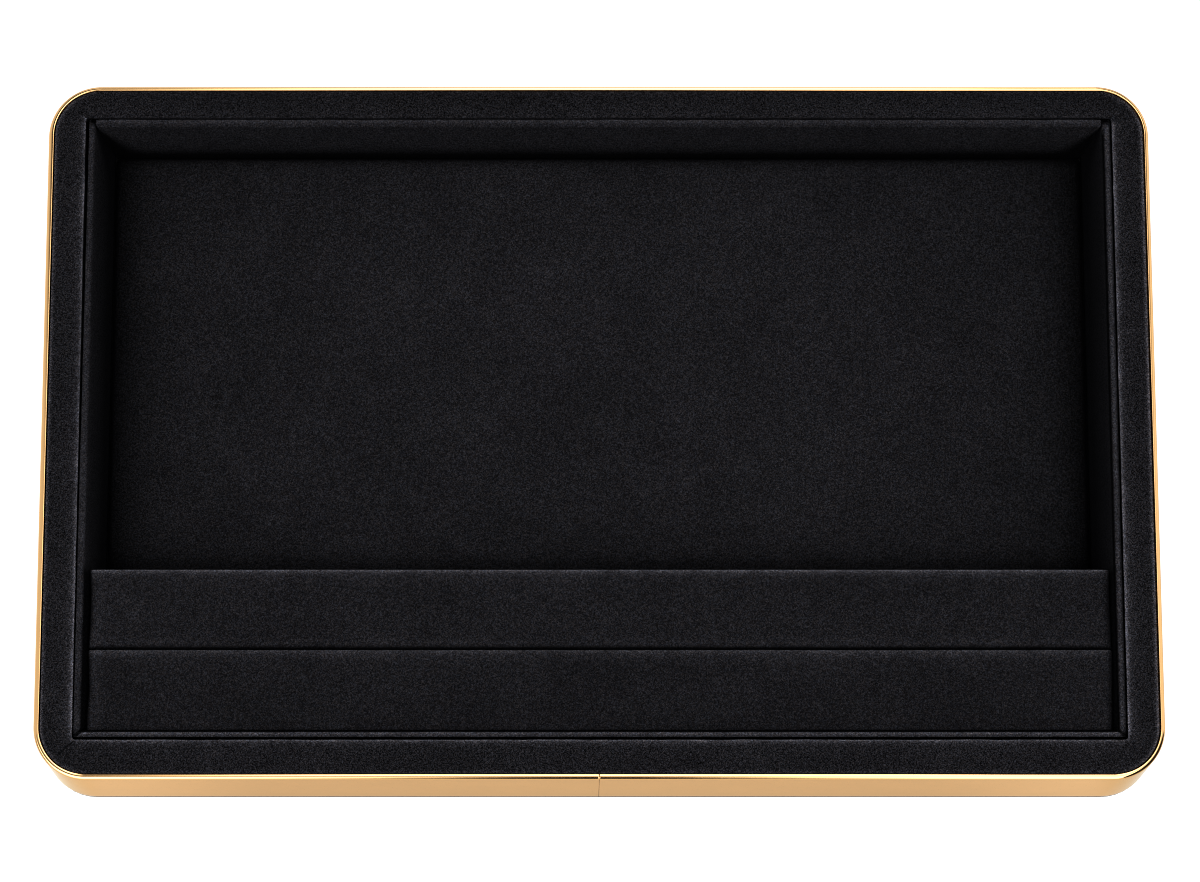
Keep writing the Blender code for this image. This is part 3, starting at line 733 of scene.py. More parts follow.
def make_rim():
    stations = rim_stations(2.0, 96)
    thick = 0.62
    outer_leg = [(0.0, z) for z in (RIM_LEG_Z, 27.0, 31.0, 34.0, 35.6)]
    rows, painted_shade_rows, painted_highlight_rows = [], [], []
    n_top = 30
    for o, i, u in stations:
        tight = max(0.0, float(u[1]))              # the back's inner edge is folded tighter
        ri, riv = 1.5 - 0.95 * tight, 1.05 - 0.55 * tight
        snug = max(tight, 0.8 * max(0.0, float(u[0])))
        ro, rov = 0.80 - 0.48 * snug, 0.60 - 0.28 * snug      # outer edge rounding, across and down
        swell = 0.50 * tight + 0.18 * max(0.0, float(u[0]))    # the cloth touches the metal's lip here
        row, painted_highlight_row, painted_shade_row = [], [], []

        def out_pt(a, z):
            p = o - u * (a - swell * float(smooth((z - 36.5) / 0.8)))
            return (p[0], p[1], z)

        def in_pt(b, z):
            p = i + u * b
            return (p[0], p[1], z)

        # outer surface, from the foot of the outer leg over the top and down the inner leg
        for a, z in outer_leg:
            row.append(out_pt(a, z)); painted_highlight_row.append(0.0); painted_shade_row.append(1.0)
        for k in range(1, 10):
            ang = math.radians(90.0 * k / 9)
            row.append(out_pt(ro - ro * math.cos(ang), RIM_TOP - rov + rov * math.sin(ang)))
            painted_highlight_row.append(0.0); painted_shade_row.append(0.0)
        a_pt = o - u * ro
        b_pt = i + u * ri
        for k in range(1, n_top):
            f = k / n_top
            p = a_pt + (b_pt - a_pt) * f
            row.append((p[0], p[1], RIM_TOP)); painted_highlight_row.append(0.0); painted_shade_row.append(0.0)
        for k in range(0, 12):
            ang = math.radians(90.0 * k / 11)
            row.append(in_pt(ri - ri * math.sin(ang), RIM_TOP - riv + riv * math.cos(ang)))
            painted_highlight_row.append(0.0); painted_shade_row.append(0.0)
        for z in (35.4, 34.6, 33.5, 31.0, 27.0, RIM_LEG_Z):
            row.append(in_pt(0.0, z)); painted_highlight_row.append(0.0); painted_shade_row.append(1.0)
        n_outer = len(row)
        # back of the cloth, coming back up the inner leg and down the outer one
        for z in (RIM_LEG_Z, 27.0, 31.0, 34.0, 35.2):
            row.append(in_pt(thick, z)); painted_highlight_row.append(0.0); painted_shade_row.append(1.0)
        for k in range(1, 6):
            ang = math.radians(90.0 * k / 6)
            row.append(in_pt(ri - (ri - thick) * math.cos(ang), RIM_TOP - riv + (riv - thick) * math.sin(ang)))
            painted_highlight_row.append(0.0); painted_shade_row.append(1.0)
        for k in range(0, 9):
            f = k / 8
            p = b_pt + (a_pt - b_pt) * f
            row.append((p[0], p[1], RIM_TOP - thick)); painted_highlight_row.append(0.0); painted_shade_row.append(1.0)
        for k in range(1, 6):
            ang = math.radians(90.0 * k / 6)
            row.append(out_pt(ro - (ro - thick) * math.sin(ang), RIM_TOP - rov + (rov - thick) * math.cos(ang)))
            painted_highlight_row.append(0.0); painted_shade_row.append(1.0)
        for z in (35.2, 34.0, 31.0, 27.0, RIM_LEG_Z):
            row.append(out_pt(thick, z)); painted_highlight_row.append(0.0); painted_shade_row.append(1.0)
        rows.append(row); painted_highlight_rows.append(painted_highlight_row); painted_shade_rows.append(painted_shade_row)
    grid = np.array(rows)
    # relief on the outer surface: a slight crown, soft unevenness, and the corner creases
    flat = grid.reshape(-1, 3)
    n_u, n_v = grid.shape[:2]
    outer = np.zeros((n_u, n_v), bool)
    outer[:, :n_outer] = True
    outer = outer.reshape(-1)
    x, y, z = flat[:, 0].copy(), flat[:, 1].copy(), flat[:, 2].copy()
    # distance from the outer and from the inner outline
    qx, qy = np.abs(x) - (RIM_X - RIM_R), np.abs(y) - (RIM_Y - RIM_R)
    d_out = np.where((qx > 0) & (qy > 0), RIM_R - np.hypot(np.maximum(qx, 0), np.maximum(qy, 0)),
                     np.minimum(RIM_X - np.abs(x), RIM_Y - np.abs(y)))
    dx = np.abs(x) - WELL_X - pulled_out(x, y)
    dy = np.where(y < 0, WELL_FRONT - y, y - WELL_BACK)
    d_in = np.where((dx > 0) & (dy > 0), np.hypot(dx, dy), np.maximum(dx, dy))
    span = np.maximum(d_out + d_in, 1e-6)
    f = np.clip(d_out / span, 0, 1)
    high = smooth((z - 35.0) / 1.6)
    crown = -0.12 * (2 * f - 1) ** 2 * high
    soft = fbm(np.stack([x, y, np.zeros_like(x)], 1)[outer], 16.0, 5.0, 2)
    bumpy = np.zeros(len(flat))
    bumpy[outer] = soft * 0.045 * high[outer]
    relief = rim_relief(x, y) * high
    flat[:, 2] = z + np.where(outer, crown + bumpy + relief, 0.55 * (crown + relief))
    # the inner edge isn't ruled: it wanders by a tenth of a millimetre
    edge = smooth((1.6 - d_in) / 1.6) * smooth((z - 33.5) / 2.0)
    wander = np.zeros(len(flat))
    wander[outer] = fbm(flat[outer], 9.0, 11.0, 2) * 0.09 * edge[outer]
    flat[:, 0] += np.where(dx >= dy, np.sign(x) * wander, 0.0)
    flat[:, 1] += np.where(dy > dx, np.where(y < 0, -1, 1) * wander, 0.0)
    # painted highlight along the folded inner edges, most on the front one and almost none on the back one, and along
    # the outer edge
    high = smooth((z - 34.8) / 1.4)
    near = np.maximum(d_in, 0)
    k_in = (RIM_EDGE_HIGHLIGHT * np.exp(-near / 0.33) + RIM_GLOW * np.exp(-near / 1.0)) * high
    along = np.interp(y, (-100.0, -80.0, -57.0, -20.0, 29.0, 60.0, 95.0), (1.15, 1.2, 1.15, 0.85, 0.66, 0.8, 1.0))
    facing = np.where(dx >= dy, RIM_HIGHLIGHT_SIDES["side"] * along, np.where(y < 0, RIM_HIGHLIGHT_SIDES["front"], RIM_HIGHLIGHT_SIDES["back"]))
    patchy = np.ones(len(flat))
    patchy[outer] = 1.0 + 0.55 * fbm(flat[outer], 7.0, 61.0, 2)
    apart = np.abs(np.abs(dx) - np.abs(dy))
    corner = np.where((dx > -1.5) & (dy > -1.5), 0.35 + 0.65 * smooth(apart / 3.0), 1.0)
    k_out = np.exp(-(np.maximum(d_out - 0.15, 0) / 0.5) ** 1.5) * smooth((z - 36.9) / 0.5)
    ux = np.clip(qx / np.maximum(np.hypot(np.maximum(qx, 0), np.maximum(qy, 0)), 1e-6), 0, 1)
    ux = np.where((qx > 0) & (qy > 0), ux, np.where(RIM_X - np.abs(x) < RIM_Y - np.abs(y), 1.0, 0.0))
    out_end = np.where(y < 0, RIM_HIGHLIGHT_SIDES["out_front"], RIM_HIGHLIGHT_SIDES["out_back"])
    out_side = out_end + (RIM_HIGHLIGHT_SIDES["out_side"] - out_end) * ux
    painted_highlight = k_in * facing * corner * np.maximum(patchy, 0.2) + k_out * out_side
    # painted shade: the back's top darker towards the metal, and a faint band near the metal elsewhere
    shade = np.where(y > WELL_BACK - 0.5, 0.20 * smooth((9.5 - d_out) / 9.0), 0.06 * smooth((7.0 - d_out) / 5.0) * smooth((d_out - 1.0) / 1.0))
    # painted shade in the corner creases, on the legs and the back of the cloth, and below the top
    crease = np.zeros(len(flat))
    for path, depth, half, f0, f1 in CREASES:
        dist, share, _ = segment_distance(x, y, path)
        fade = (f0 + (f1 - f0) * share) * smooth((1.0 - share) / 0.12)
        crease = np.maximum(crease, 0.75 * fade * min(depth / 0.3, 1.0) * np.exp(-(dist / (half * 0.8)) ** 2))
    painted_shade = np.maximum(np.array(painted_shade_rows).reshape(-1) * 0.9, crease)
    painted_shade = np.maximum(painted_shade, shade)
    painted_shade = np.maximum(painted_shade, 0.97 * smooth((35.9 - flat[:, 2]) / 1.0))
    ob = grid_object("rim_suede", grid, True, True, M_RIM,
                     {"painted_highlight": painted_highlight * outer, "painted_shade": np.clip(painted_shade, 0, 1)})
    return ob


RIM_EDGE_HIGHLIGHT, RIM_GLOW = 8.5, 1.9
RIM_HIGHLIGHT_SIDES = {"front": 1.0, "side": 1.0, "back": 0.02, "out_front": 1.0, "out_side": 3.4, "out_back": 0.3}
rim = make_rim()
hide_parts("rim_cover")
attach(rim, "tray")


def ring_solid(name, out_x, out_y, out_r, in_x, in_y0, in_y1, z0, z1, r_out, r_in, mat, arc=16, straight=8.0):
    """Closed foam ring with rounded top edges, following a rounded outline outside."""
    rows = []
    corners = [(1, -1, -90.0), (1, 1, 0.0), (-1, 1, 90.0), (-1, -1, 180.0)]
    stations = []
    for n, (sx, sy, start) in enumerate(corners):
        co = np.array((sx * (out_x - out_r), sy * (out_y - out_r)))
        wy = in_y0 if sy < 0 else in_y1
        ri = 0.4
        ci = np.array((sx * (in_x - ri), wy - sy * ri))
        for i in range(arc + 1):
            a = math.radians(start + 90.0 * i / arc)
            u = np.array((math.cos(a), math.sin(a)))
            stations.append((co + out_r * u, ci + ri * u, u))
        nx, ny, nstart = corners[(n + 1) % 4]
        a = math.radians(nstart)
        u = np.array((math.cos(a), math.sin(a)))
        co2 = np.array((nx * (out_x - out_r), ny * (out_y - out_r))) + out_r * u
        wy2 = in_y0 if ny < 0 else in_y1
        ci2 = np.array((nx * (in_x - ri), wy2 - ny * ri)) + ri * u
        o1, i1 = stations[-1][0], stations[-1][1]
        m = int(np.linalg.norm(co2 - o1) / straight)
        for k in range(1, m):
            f = k / m
            stations.append((o1 + (co2 - o1) * f, i1 + (ci2 - i1) * f, u))
    for o, i, u in stations:
        row = []

        def out_pt(a, z):
            p = o - u * a
            return (p[0], p[1], z)

        def in_pt(b, z):
            p = i + u * b
            return (p[0], p[1], z)
        row.append(out_pt(0.0, z0))
        for k in range(6):
            ang = math.radians(90.0 * k / 5)
            row.append(out_pt(r_out - r_out * math.cos(ang), z1 - r_out + r_out * math.sin(ang)))
        a_pt, b_pt = o - u * r_out, i + u * r_in
        for k in range(1, 6):
            p = a_pt + (b_pt - a_pt) * k / 6
            row.append((p[0], p[1], z1 + 0.0))
        for k in range(6):
            ang = math.radians(90.0 * k / 5)
            row.append(in_pt(r_in - r_in * math.sin(ang), z1 - r_in + r_in * math.cos(ang)))
        row.append(in_pt(0.0, z0))
        for k in range(1, 4):
            p = i + (o - i) * k / 4
            row.append((p[0], p[1], z0))
        rows.append(row)
    return grid_object(name, np.array(rows), True, True, mat)


rim_padding = ring_solid("rim_padding", 172.1, 108.6, 13.6, 164.2, -99.9, 102.3, 35.0, 36.55, 0.8, 1.1, M_FOAM)
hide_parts("rim_foam")
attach(rim_padding, "tray")


# ------------------------------------------------------------------ wall strips of the well
WALL_SLANT = math.hypot(1.0, LEAN)


def wall_piece(side):
    """Suede wrapped over a stiff board: rounded top edge, rounded ends, open at the foot."""
    height = WALL_TOP_Z - 0.05 - WALL_FOOT_Z
    along_x = side in ("front", "back")
    thick = WALL_T + {"front": -0.40, "back": 0.5, "left": 0.3, "right": 0.6}[side]
    length = {"front": 2 * (WELL_X - 0.42), "back": 2 * (WALL_IN_X - 0.12)}.get(side, 200.0)
    r_in, r_out, r_top = {"front": (0.5, 0.45, 0.45), "back": (0.9, 0.3, 0.45),
                          "left": (0.8, 0.55, 0.65), "right": (0.8, 0.55, 0.65)}[side]
    pts, faces, d = rounded_block((length, thick, height), ((1.2, 1.2), (r_in, r_out), (0.01, r_top)),
                                  (1.6, 0.4, 0.9), True, 6)
    if side in ("front", "right"):
        faces = [f[::-1] for f in faces]                   # these two are built mirrored
    s, t, h = pts[:, 0] / length, pts[:, 1], pts[:, 2]     # t = 0 is the face towards the well
    z = WALL_FOOT_Z + h
    drop = WALL_TOP_Z - z
    run_in = drop * LEAN
    # a padded face: the cloth swells a little between the edges
    away = t - 0.08 * np.sin(np.pi * np.clip(h / height, 0, 1)) * (d[:, 1] < -0.5)
    top = smooth((h - height + 3.0) / 3.0)
    across = np.clip(t / thick, 0, 1)
    if side == "front":
        limit = WELL_X - 0.42
        x = (2 * s - 1) * limit
        # the wrapped ends taper towards the rim: a rounded one on the left, a folded one on the right
        pull = np.where(x < 0, 2.3, 1.4)
        end = np.clip((np.abs(x) - (limit - pull)) / pull, 0, 1)
        taper = np.where(x < 0, 1 - np.sqrt(np.maximum(1 - end ** 2, 0)), end) * top
        away = away + (0.75 * thick - away) * taper * (away < 0.75 * thick)
        z = z - 0.30 * end ** 2 * top
        p = np.stack([x, WALL_IN_FRONT + run_in - away, z], 1)
    elif side == "back":
        limit = WALL_IN_X - 0.12 - run_in
        x = (2 * s - 1) * limit
        pull = np.where(x < 0, 1.6, 1.0)
        end = np.clip((np.abs(x) - (limit - pull)) / pull, 0, 1)
        z = z - 0.25 * end ** 2 * top
        away = away + 0.35 * end ** 2 * top * (1 - across)
        p = np.stack([x, WALL_IN_BACK - run_in + away, z], 1)
    else:
        sign = -1 if side == "left" else 1
        # mitred against the front strip at the top
        y_front = WALL_IN_FRONT + run_in + 0.35 - 1.9 * across * smooth((z - 35.0) / 1.2)
        y = y_front + (WELL_BACK - 0.30 - y_front) * s
        end = np.clip(1 - (y - y_front) / 1.6, 0, 1) + 0.5 * np.clip(1 - (WELL_BACK - 0.30 - y) / 1.2, 0, 1)
        if side == "left":
            away = away * (1 - 0.17 * np.clip((y + 20.0) / 115.0, 0, 1))
        z = z - 0.4 * end ** 2 * top
        p = np.stack([sign * (WALL_IN_X - run_in + away), y, z], 1)
    # slight unevenness of the wrapped edge
    edge = smooth((h - height + 2.5) / 2.5)
    wob = fbm(p, 11.0, {"left": 21.0, "right": 24.0, "front": 27.0, "back": 30.0}[side], 2)
    p[:, 2] += 0.04 * wob * edge
    p[:, 1 if along_x else 0] += 0.05 * wob * edge
    # painted highlight along the top, most where the fold faces the back of the tray
    k_top = smooth((h - height + 1.0) / 0.8)
    if side == "front":
        painted_highlight = k_top * (2.5 * np.exp(-(across / 0.5) ** 2) + 0.3)
    elif side == "back":
        painted_highlight = k_top * 0.75 * (0.08 + 0.92 * smooth((across - 0.36) / 0.26))
    elif side == "left":
        painted_highlight = k_top * 0.55 * (0.5 + 0.5 * np.exp(-((across - 0.45) / 0.30) ** 2))
    else:
        painted_highlight = k_top * 1.25 * (0.35 + 0.65 * np.exp(-((across - 0.55) / 0.22) ** 2))
    painted_highlight = painted_highlight * np.maximum(1.0 + 0.5 * fbm(p, 6.0, 71.0, 2), 0.3)
    # shade: towards the foot, into the corners, behind the pads, and in the seam along the rim
    below = np.maximum(WALL_TOP_Z - p[:, 2], 0)
    down = np.clip(below / (WALL_TOP_Z - FLOOR_Z[1]), 0, 1.1)
    if side == "back":
        keep = np.interp(down, BACK_SHADE[0], BACK_SHADE[1])
        room = (WALL_IN_X - below * LEAN) - np.abs(p[:, 0])
        lo, hi = -0.5 + 5.7 * down, 0.2 + 13.8 * down
    elif side == "front":
        keep = np.interp(below, (0.0, 0.3, 0.9, 2.0), (1.0, 0.8, 0.2, 0.03))
        # the lit fold stops short of the corner: rounded on the left, cut off slanting on the right
        stop = np.where(p[:, 0] < 0, 159.4 + 2.2 * np.sqrt(across), 160.7 + 1.3 * across)
        room = stop - np.abs(p[:, 0])
        lo, hi = -0.25, 0.25
    else:
        keep = np.interp(down, SIDE_SHADE[0], SIDE_SHADE[1])
        if side == "right":
            keep = keep * (1 - 0.42 * smooth(down / 0.12))
        room = WALL_IN_BACK - below * LEAN - p[:, 1]
        lo, hi = -1.9 + 8.4 * down, 0.4 + 19.6 * down
        beside = smooth((REAR_PAD_Y[1] + 1.2 - p[:, 1]) / 2.0)
        keep = keep * (1 - beside) + np.interp(below, (0.0, 0.3, 0.6, 1.0), (1.0, 0.6, 0.10, 0.01)) * beside
        if side == "right":
            # its lit fold starts a little way in from the edge, except at the very back
            fold = smooth((across - 0.10) / 0.22)
            keep = keep * (1 - 0.93 * (1 - fold) * smooth((98.0 - p[:, 1]) / 2.0) * smooth((1.4 - below) / 0.6))
        outwards = 1 - 0.5 * smooth((across - 0.62) / 0.25) * (side == "right")
    face = smooth((0.95 - across) / 0.3)
    keep = 1 - (1 - keep) * face
    keep = keep * (1 - smooth((hi - room) / (hi - lo)) * np.where(along_x and side == "front", 0.9, 0.97) * np.maximum(face, 0.75))
    if not along_x:
        keep = keep * (0.05 + 0.95 * smooth((p[:, 1] - WALL_IN_FRONT - run_in * 0.9 + 1.5) / 3.0))
    if side == "right":
        keep = keep * outwards
    keep = keep * (1 - 0.95 * smooth((across - 0.86) / 0.1) * smooth((below - 0.1) / 0.35))
    keep = np.where((across > 0.9) & (below > 0.9), 0.02, keep)
    ob = new_object(side + "_wall_suede", p, faces, M_WALL, {"painted_highlight": painted_highlight, "painted_shade": np.clip(1 - keep, 0, 1)})
    return solidify(ob, 0.5)


BACK_SHADE = ((0.0, 0.35, 0.5, 0.62, 0.74, 0.82, 0.89, 0.95, 1.0), (1.0, 1.0, 1.0, 0.92, 0.75, 0.50, 0.24, 0.03, 0.01))
SIDE_SHADE = ((0.0, 0.10, 0.25, 0.4, 0.55, 0.68, 0.78, 0.86, 1.0), (1.0, 0.75, 0.50, 0.38, 0.27, 0.16, 0.07, 0.01, 0.0))
for side in ("left", "right", "front", "back"):
    w = wall_piece(side)
    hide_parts(side + "_wall_cover")
    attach(w, "tray")


# ------------------------------------------------------------------ floor of the well
def make_floor():
    z0, z1 = FLOOR_Z
    size = (2 * FLOOR_X, FLOOR_BACK - FLOOR_FRONT, z1 - z0)
    pts, faces, d = rounded_block(size, ((1.2, 1.2), (1.2, 1.2), (0.01, 1.0)), (2.4, 2.4, 0.8), True, 8)
    p = pts + np.array((-FLOOR_X, FLOOR_FRONT, z0))
    # the panel's cloth reaches out to the wall strips just above their feet
    p[:, 0] *= (FLOOR_X + 0.25) / FLOOR_X
    on_top = smooth((p[:, 2] - z1 + 1.0) / 1.0)
    edge = np.minimum(FLOOR_X - np.abs(p[:, 0]), np.minimum(p[:, 1] - FLOOR_FRONT, FLOOR_BACK - p[:, 1]))
    soft = fbm(p, 34.0, 41.0, 3)
    p[:, 2] += on_top * (0.07 * soft - 0.16 * np.exp(-(edge / 7.0)))
    # shade in the joint between floor and walls, and close behind the pads
    ex = np.maximum(FLOOR_X - np.abs(p[:, 0]), 0)
    eb = np.maximum(FLOOR_BACK - p[:, 1], 0)
    ep = np.maximum(p[:, 1] - REAR_PAD_Y[1], 0)
    keep = np.interp(ex, (0.0, 0.8, 1.6, 3.0, 5.0, 7.0, 10.0, 14.0, 20.0, 32.0, 60.0, 100.0),
                     (0.0, 0.10, 0.20, 0.26, 0.36, 0.46, 0.60, 0.70, 0.82, 0.90, 0.96, 1.0))
    keep *= np.interp(eb, (0.0, 0.6, 1.4, 2.2, 3.2, 4.5, 8.0, 16.0, 40.0),
                      (0.0, 0.30, 0.55, 0.68, 0.84, 0.92, 0.94, 0.97, 1.0))
    keep *= np.interp(ep, (0.0, 4.0, 5.0, 6.2, 7.5, 9.5, 13.0, 20.0), (0.40, 0.46, 0.52, 0.64, 0.74, 0.86, 0.95, 1.0))
    painted_shade = np.maximum(1 - keep, 0.97 * smooth((z1 - 0.6 - p[:, 2]) / 0.9))
    ob = new_object("floor_suede", p, faces, M_FLOOR, {"painted_highlight": np.zeros(len(p)), "painted_shade": np.clip(painted_shade, 0, 1)})
    return solidify(ob, 0.6)


floor = make_floor()
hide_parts("floor_cover")
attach(floor, "tray")


def foam_block(name, size, origin, radii, steps, warp=None):
    pts, faces, d = rounded_block(size, radii, steps, False, 4)
    p = pts + np.array(origin)
    if warp is not None:
        p = warp(p)
    return face_out(new_object(name, p, faces, M_FOAM))


fx, fy0, fy1 = FLOOR_X - 0.9, FLOOR_FRONT + 0.9, FLOOR_BACK - 0.9
floor_padding = foam_block("floor_padding", (2 * fx, fy1 - fy0, FLOOR_Z[1] - 0.95 - FLOOR_Z[0]),
                           (-fx, fy0, FLOOR_Z[0]), ((1.6, 1.6), (1.6, 1.6), (0.05, 1.2)), (12.0, 12.0, 1.2))
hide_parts("floor_foam")
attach(floor_padding, "tray")


# ------------------------------------------------------------------ ring pads
def pad_warp(p, front_leans, y_front, z_ref=PAD_Z[1]):
    """Leans the ends, and the front pad's front face, with the walls."""
    q = p.copy()
    drop = z_ref - p[:, 2]
    q[:, 0] = p[:, 0] * (PAD_TOP_X - drop * LEAN) / PAD_TOP_X
    if front_leans:
        depth = np.clip((p[:, 1] - y_front) / 12.0, 0, 1)
        q[:, 1] = p[:, 1] + drop * LEAN * (1 - smooth(depth))
    return q


def make_pad(name, y0, y1, leans, shoulders, edges, ends_at, mat, glow, seed):
    """A suede-covered pad. shoulders is (front width, front fall, back width, back fall), edges the
    edge radii (front, back, up), glow the painted highlight (edge, reach, halo, reach) at the back and its amount near
    the front."""
    z0, z1 = PAD_Z
    size = (2 * PAD_TOP_X, y1 - y0, z1 - z0)
    pts, faces, d = rounded_block(size, ((0.9, 0.9), edges[:2], (0.01, edges[2])), (1.5, 0.55, 1.1), True, 8)
    p = pts + np.array((-PAD_TOP_X, y0, z0))
    top = smooth((p[:, 2] - z1 + 3.0) / 2.0)
    fw, ff, bw, bf = shoulders
    a = np.clip(1 - (p[:, 1] - y0) / fw, 0, 1)
    b = np.clip(1 - (y1 - p[:, 1]) / bw, 0, 1)
    e = np.clip(1 - (PAD_TOP_X - np.abs(p[:, 0])) / 3.0, 0, 1)
    fall = ff * (1 - np.sqrt(1 - 0.98 * a ** 2)) + bf * (1 - np.sqrt(1 - 0.98 * b ** 2)) \
        + 0.4 * (1 - np.sqrt(1 - 0.98 * e ** 2))
    p[:, 2] -= top * fall
    soft = fbm(p, 19.0, seed, 3)
    p[:, 2] += top * 0.06 * soft
    # the faces: foam presses the cloth out between the edges, the slit stays closed
    h = (p[:, 2] - z0) / (z1 - z0)
    belly = np.sin(np.pi * np.clip(h, 0, 1))
    p[:, 1] += np.where(d[:, 1] < -0.5, 0.04 * belly, np.where(d[:, 1] > 0.5, -0.04 * belly, 0.0))
    # the ends are drawn in between their corners and spread at the corners
    ends = smooth((np.abs(pts[:, 0] - PAD_TOP_X) - PAD_TOP_X + 5.0) / 5.0)
    from_back = y1 - p[:, 1]
    reach = np.where(p[:, 0] < 0, np.interp(from_back, ends_at[0], ends_at[1]), np.interp(from_back, ends_at[0], ends_at[2]))
    inward = PAD_TOP_X - reach + 0.10 * fbm(p, 8.0, seed + 3.0, 2)
    p[:, 0] -= np.sign(p[:, 0]) * ends * inward * smooth((h - 0.35) / 0.4)
    # painted highlight and painted shade, before the lean
    rise = smooth((p[:, 2] - z1 + 2.0) / 1.2)
    near_back = np.maximum(y1 - p[:, 1], 0)
    patchy = np.maximum(1.0 + 0.5 * fbm(p, 6.5, seed + 9.0, 2), 0.3)
    # painted highlight along the back edge, near the front edge and near the ends
    painted_highlight = rise * patchy * (glow[0] * np.exp(-near_back / glow[1]) + glow[2] * np.exp(-near_back / glow[3]))
    near_front = np.maximum(p[:, 1] - y0, 0)
    painted_highlight += rise * glow[4] * np.exp(-((near_front - 1.9) / 1.1) ** 2)
    to_end = PAD_TOP_X - np.abs(p[:, 0])
    to_end = np.maximum(to_end - inward, 0)
    painted_highlight += rise * 0.34 * np.exp(-((to_end - 2.4) / 1.8) ** 2) * np.where(p[:, 0] < 0, 1.0, 0.35)
    painted_highlight *= smooth((to_end + 0.2) / 1.0)
    # painted shade down the sides, at the ends, along the front edge and in a thin line at the back edge
    painted_shade = 0.98 * smooth((z1 - 0.6 - fall - p[:, 2]) / 0.9)
    fade = np.where(p[:, 0] < 0, 0.96 * np.exp(-(to_end / 0.85) ** 1.5), 0.97 * np.exp(-(to_end / 1.45) ** 1.4))
    painted_shade = np.maximum(painted_shade, fade)
    if leans:
        shade = np.interp(near_front, (0.0, 0.15, 0.5, 1.2, 2.5, 4.0, 7.0, 12.0), (0.9, 0.60, 0.30, 0.20, 0.17, 0.13, 0.10, 0.06))
    else:
        shade = np.interp(near_front, (0.0, 0.25, 0.55, 0.9, 1.3), (0.97, 0.75, 0.42, 0.15, 0.0))
    painted_shade = np.maximum(painted_shade, 0.9 * np.exp(-(near_back / 0.16) ** 2))
    painted_shade = np.maximum(painted_shade, shade)
    p = pad_warp(p, leans, y0)
    ob = new_object(name, p, faces, mat, {"painted_highlight": painted_highlight, "painted_shade": np.clip(painted_shade, 0, 1)})
    return solidify(ob, 0.65)


rear_pad = make_pad("rear_pad_suede", *REAR_PAD_Y, False, (2.2, 0.25, 4.6, 0.8), (0.5, 0.7, 0.8), REAR_ENDS, M_PAD,
                    (8.0, 0.38, 2.1, 1.35, 0.20), 51.0)
front_pad = make_pad("front_pad_suede", *FRONT_PAD_Y, True, (3.2, 0.30, 3.0, 0.5), (0.5, 0.9, 0.75), FRONT_ENDS, M_PAD,
                     (1.5, 0.4, 2.2, 1.4, 0.0), 57.0)
for ob, node in ((rear_pad, "rear_pad_cover"), (front_pad, "front_pad_cover")):
    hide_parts(node)
    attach(ob, "ring_insert")

for label, (y0, y1), leans in (("rear", REAR_PAD_Y, False), ("front", FRONT_PAD_Y, True)):
    inset = 0.9
    block = foam_block(label + "_pad_padding",
                       (2 * (PAD_TOP_X - inset), y1 - y0 - 2 * inset, PAD_Z[1] - 1.9 - PAD_Z[0]),
                       (-(PAD_TOP_X - inset), y0 + inset, PAD_Z[0]),
                       ((2.0, 2.0), (1.6, 1.6), (0.05, 1.6)), (8.0, 3.0, 3.0),
                       lambda p, leans=leans, y0=y0: pad_warp(p, leans, y0))
    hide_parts(label + "_pad_foam")
    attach(block, "ring_insert")


# ------------------------------------------------------------------ finishes of the kept CAD nodes
def give(node, mat):
    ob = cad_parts[node]
    if not ob.material_slots:
        ob.data.materials.append(mat)
    for slot in ob.material_slots:
        slot.material = mat


give("band_joint_plate", M_STEEL)
for n in range(1, 11):
    give("base_screw_%02d" % n, M_STEEL)
give("base_felt", M_FELT)
give("base_board", M_BASE)
give("floor_board", M_STAINED)
for n in ("front_rail", "back_rail", "left_rail", "right_rail",
          "floor_batten_left", "floor_batten_centre", "floor_batten_right"):
    give(n, M_TIMBER)
for n in ("front_wall_board", "back_wall_board", "left_wall_board", "right_wall_board"):
    give(n, M_CARD)
give("insert_board", M_BLACK_CARD)
give("metal_band", M_GOLD)
for n in ("rim_cover", "front_wall_cover", "back_wall_cover", "left_wall_cover", "right_wall_cover"):
    give(n, M_WALL)
give("floor_cover", M_FLOOR)
for n in ("rear_pad_cover", "front_pad_cover"):
    give(n, M_PAD)
for n in ("rim_foam", "floor_foam", "rear_pad_foam", "front_pad_foam"):
    give(n, M_FOAM)


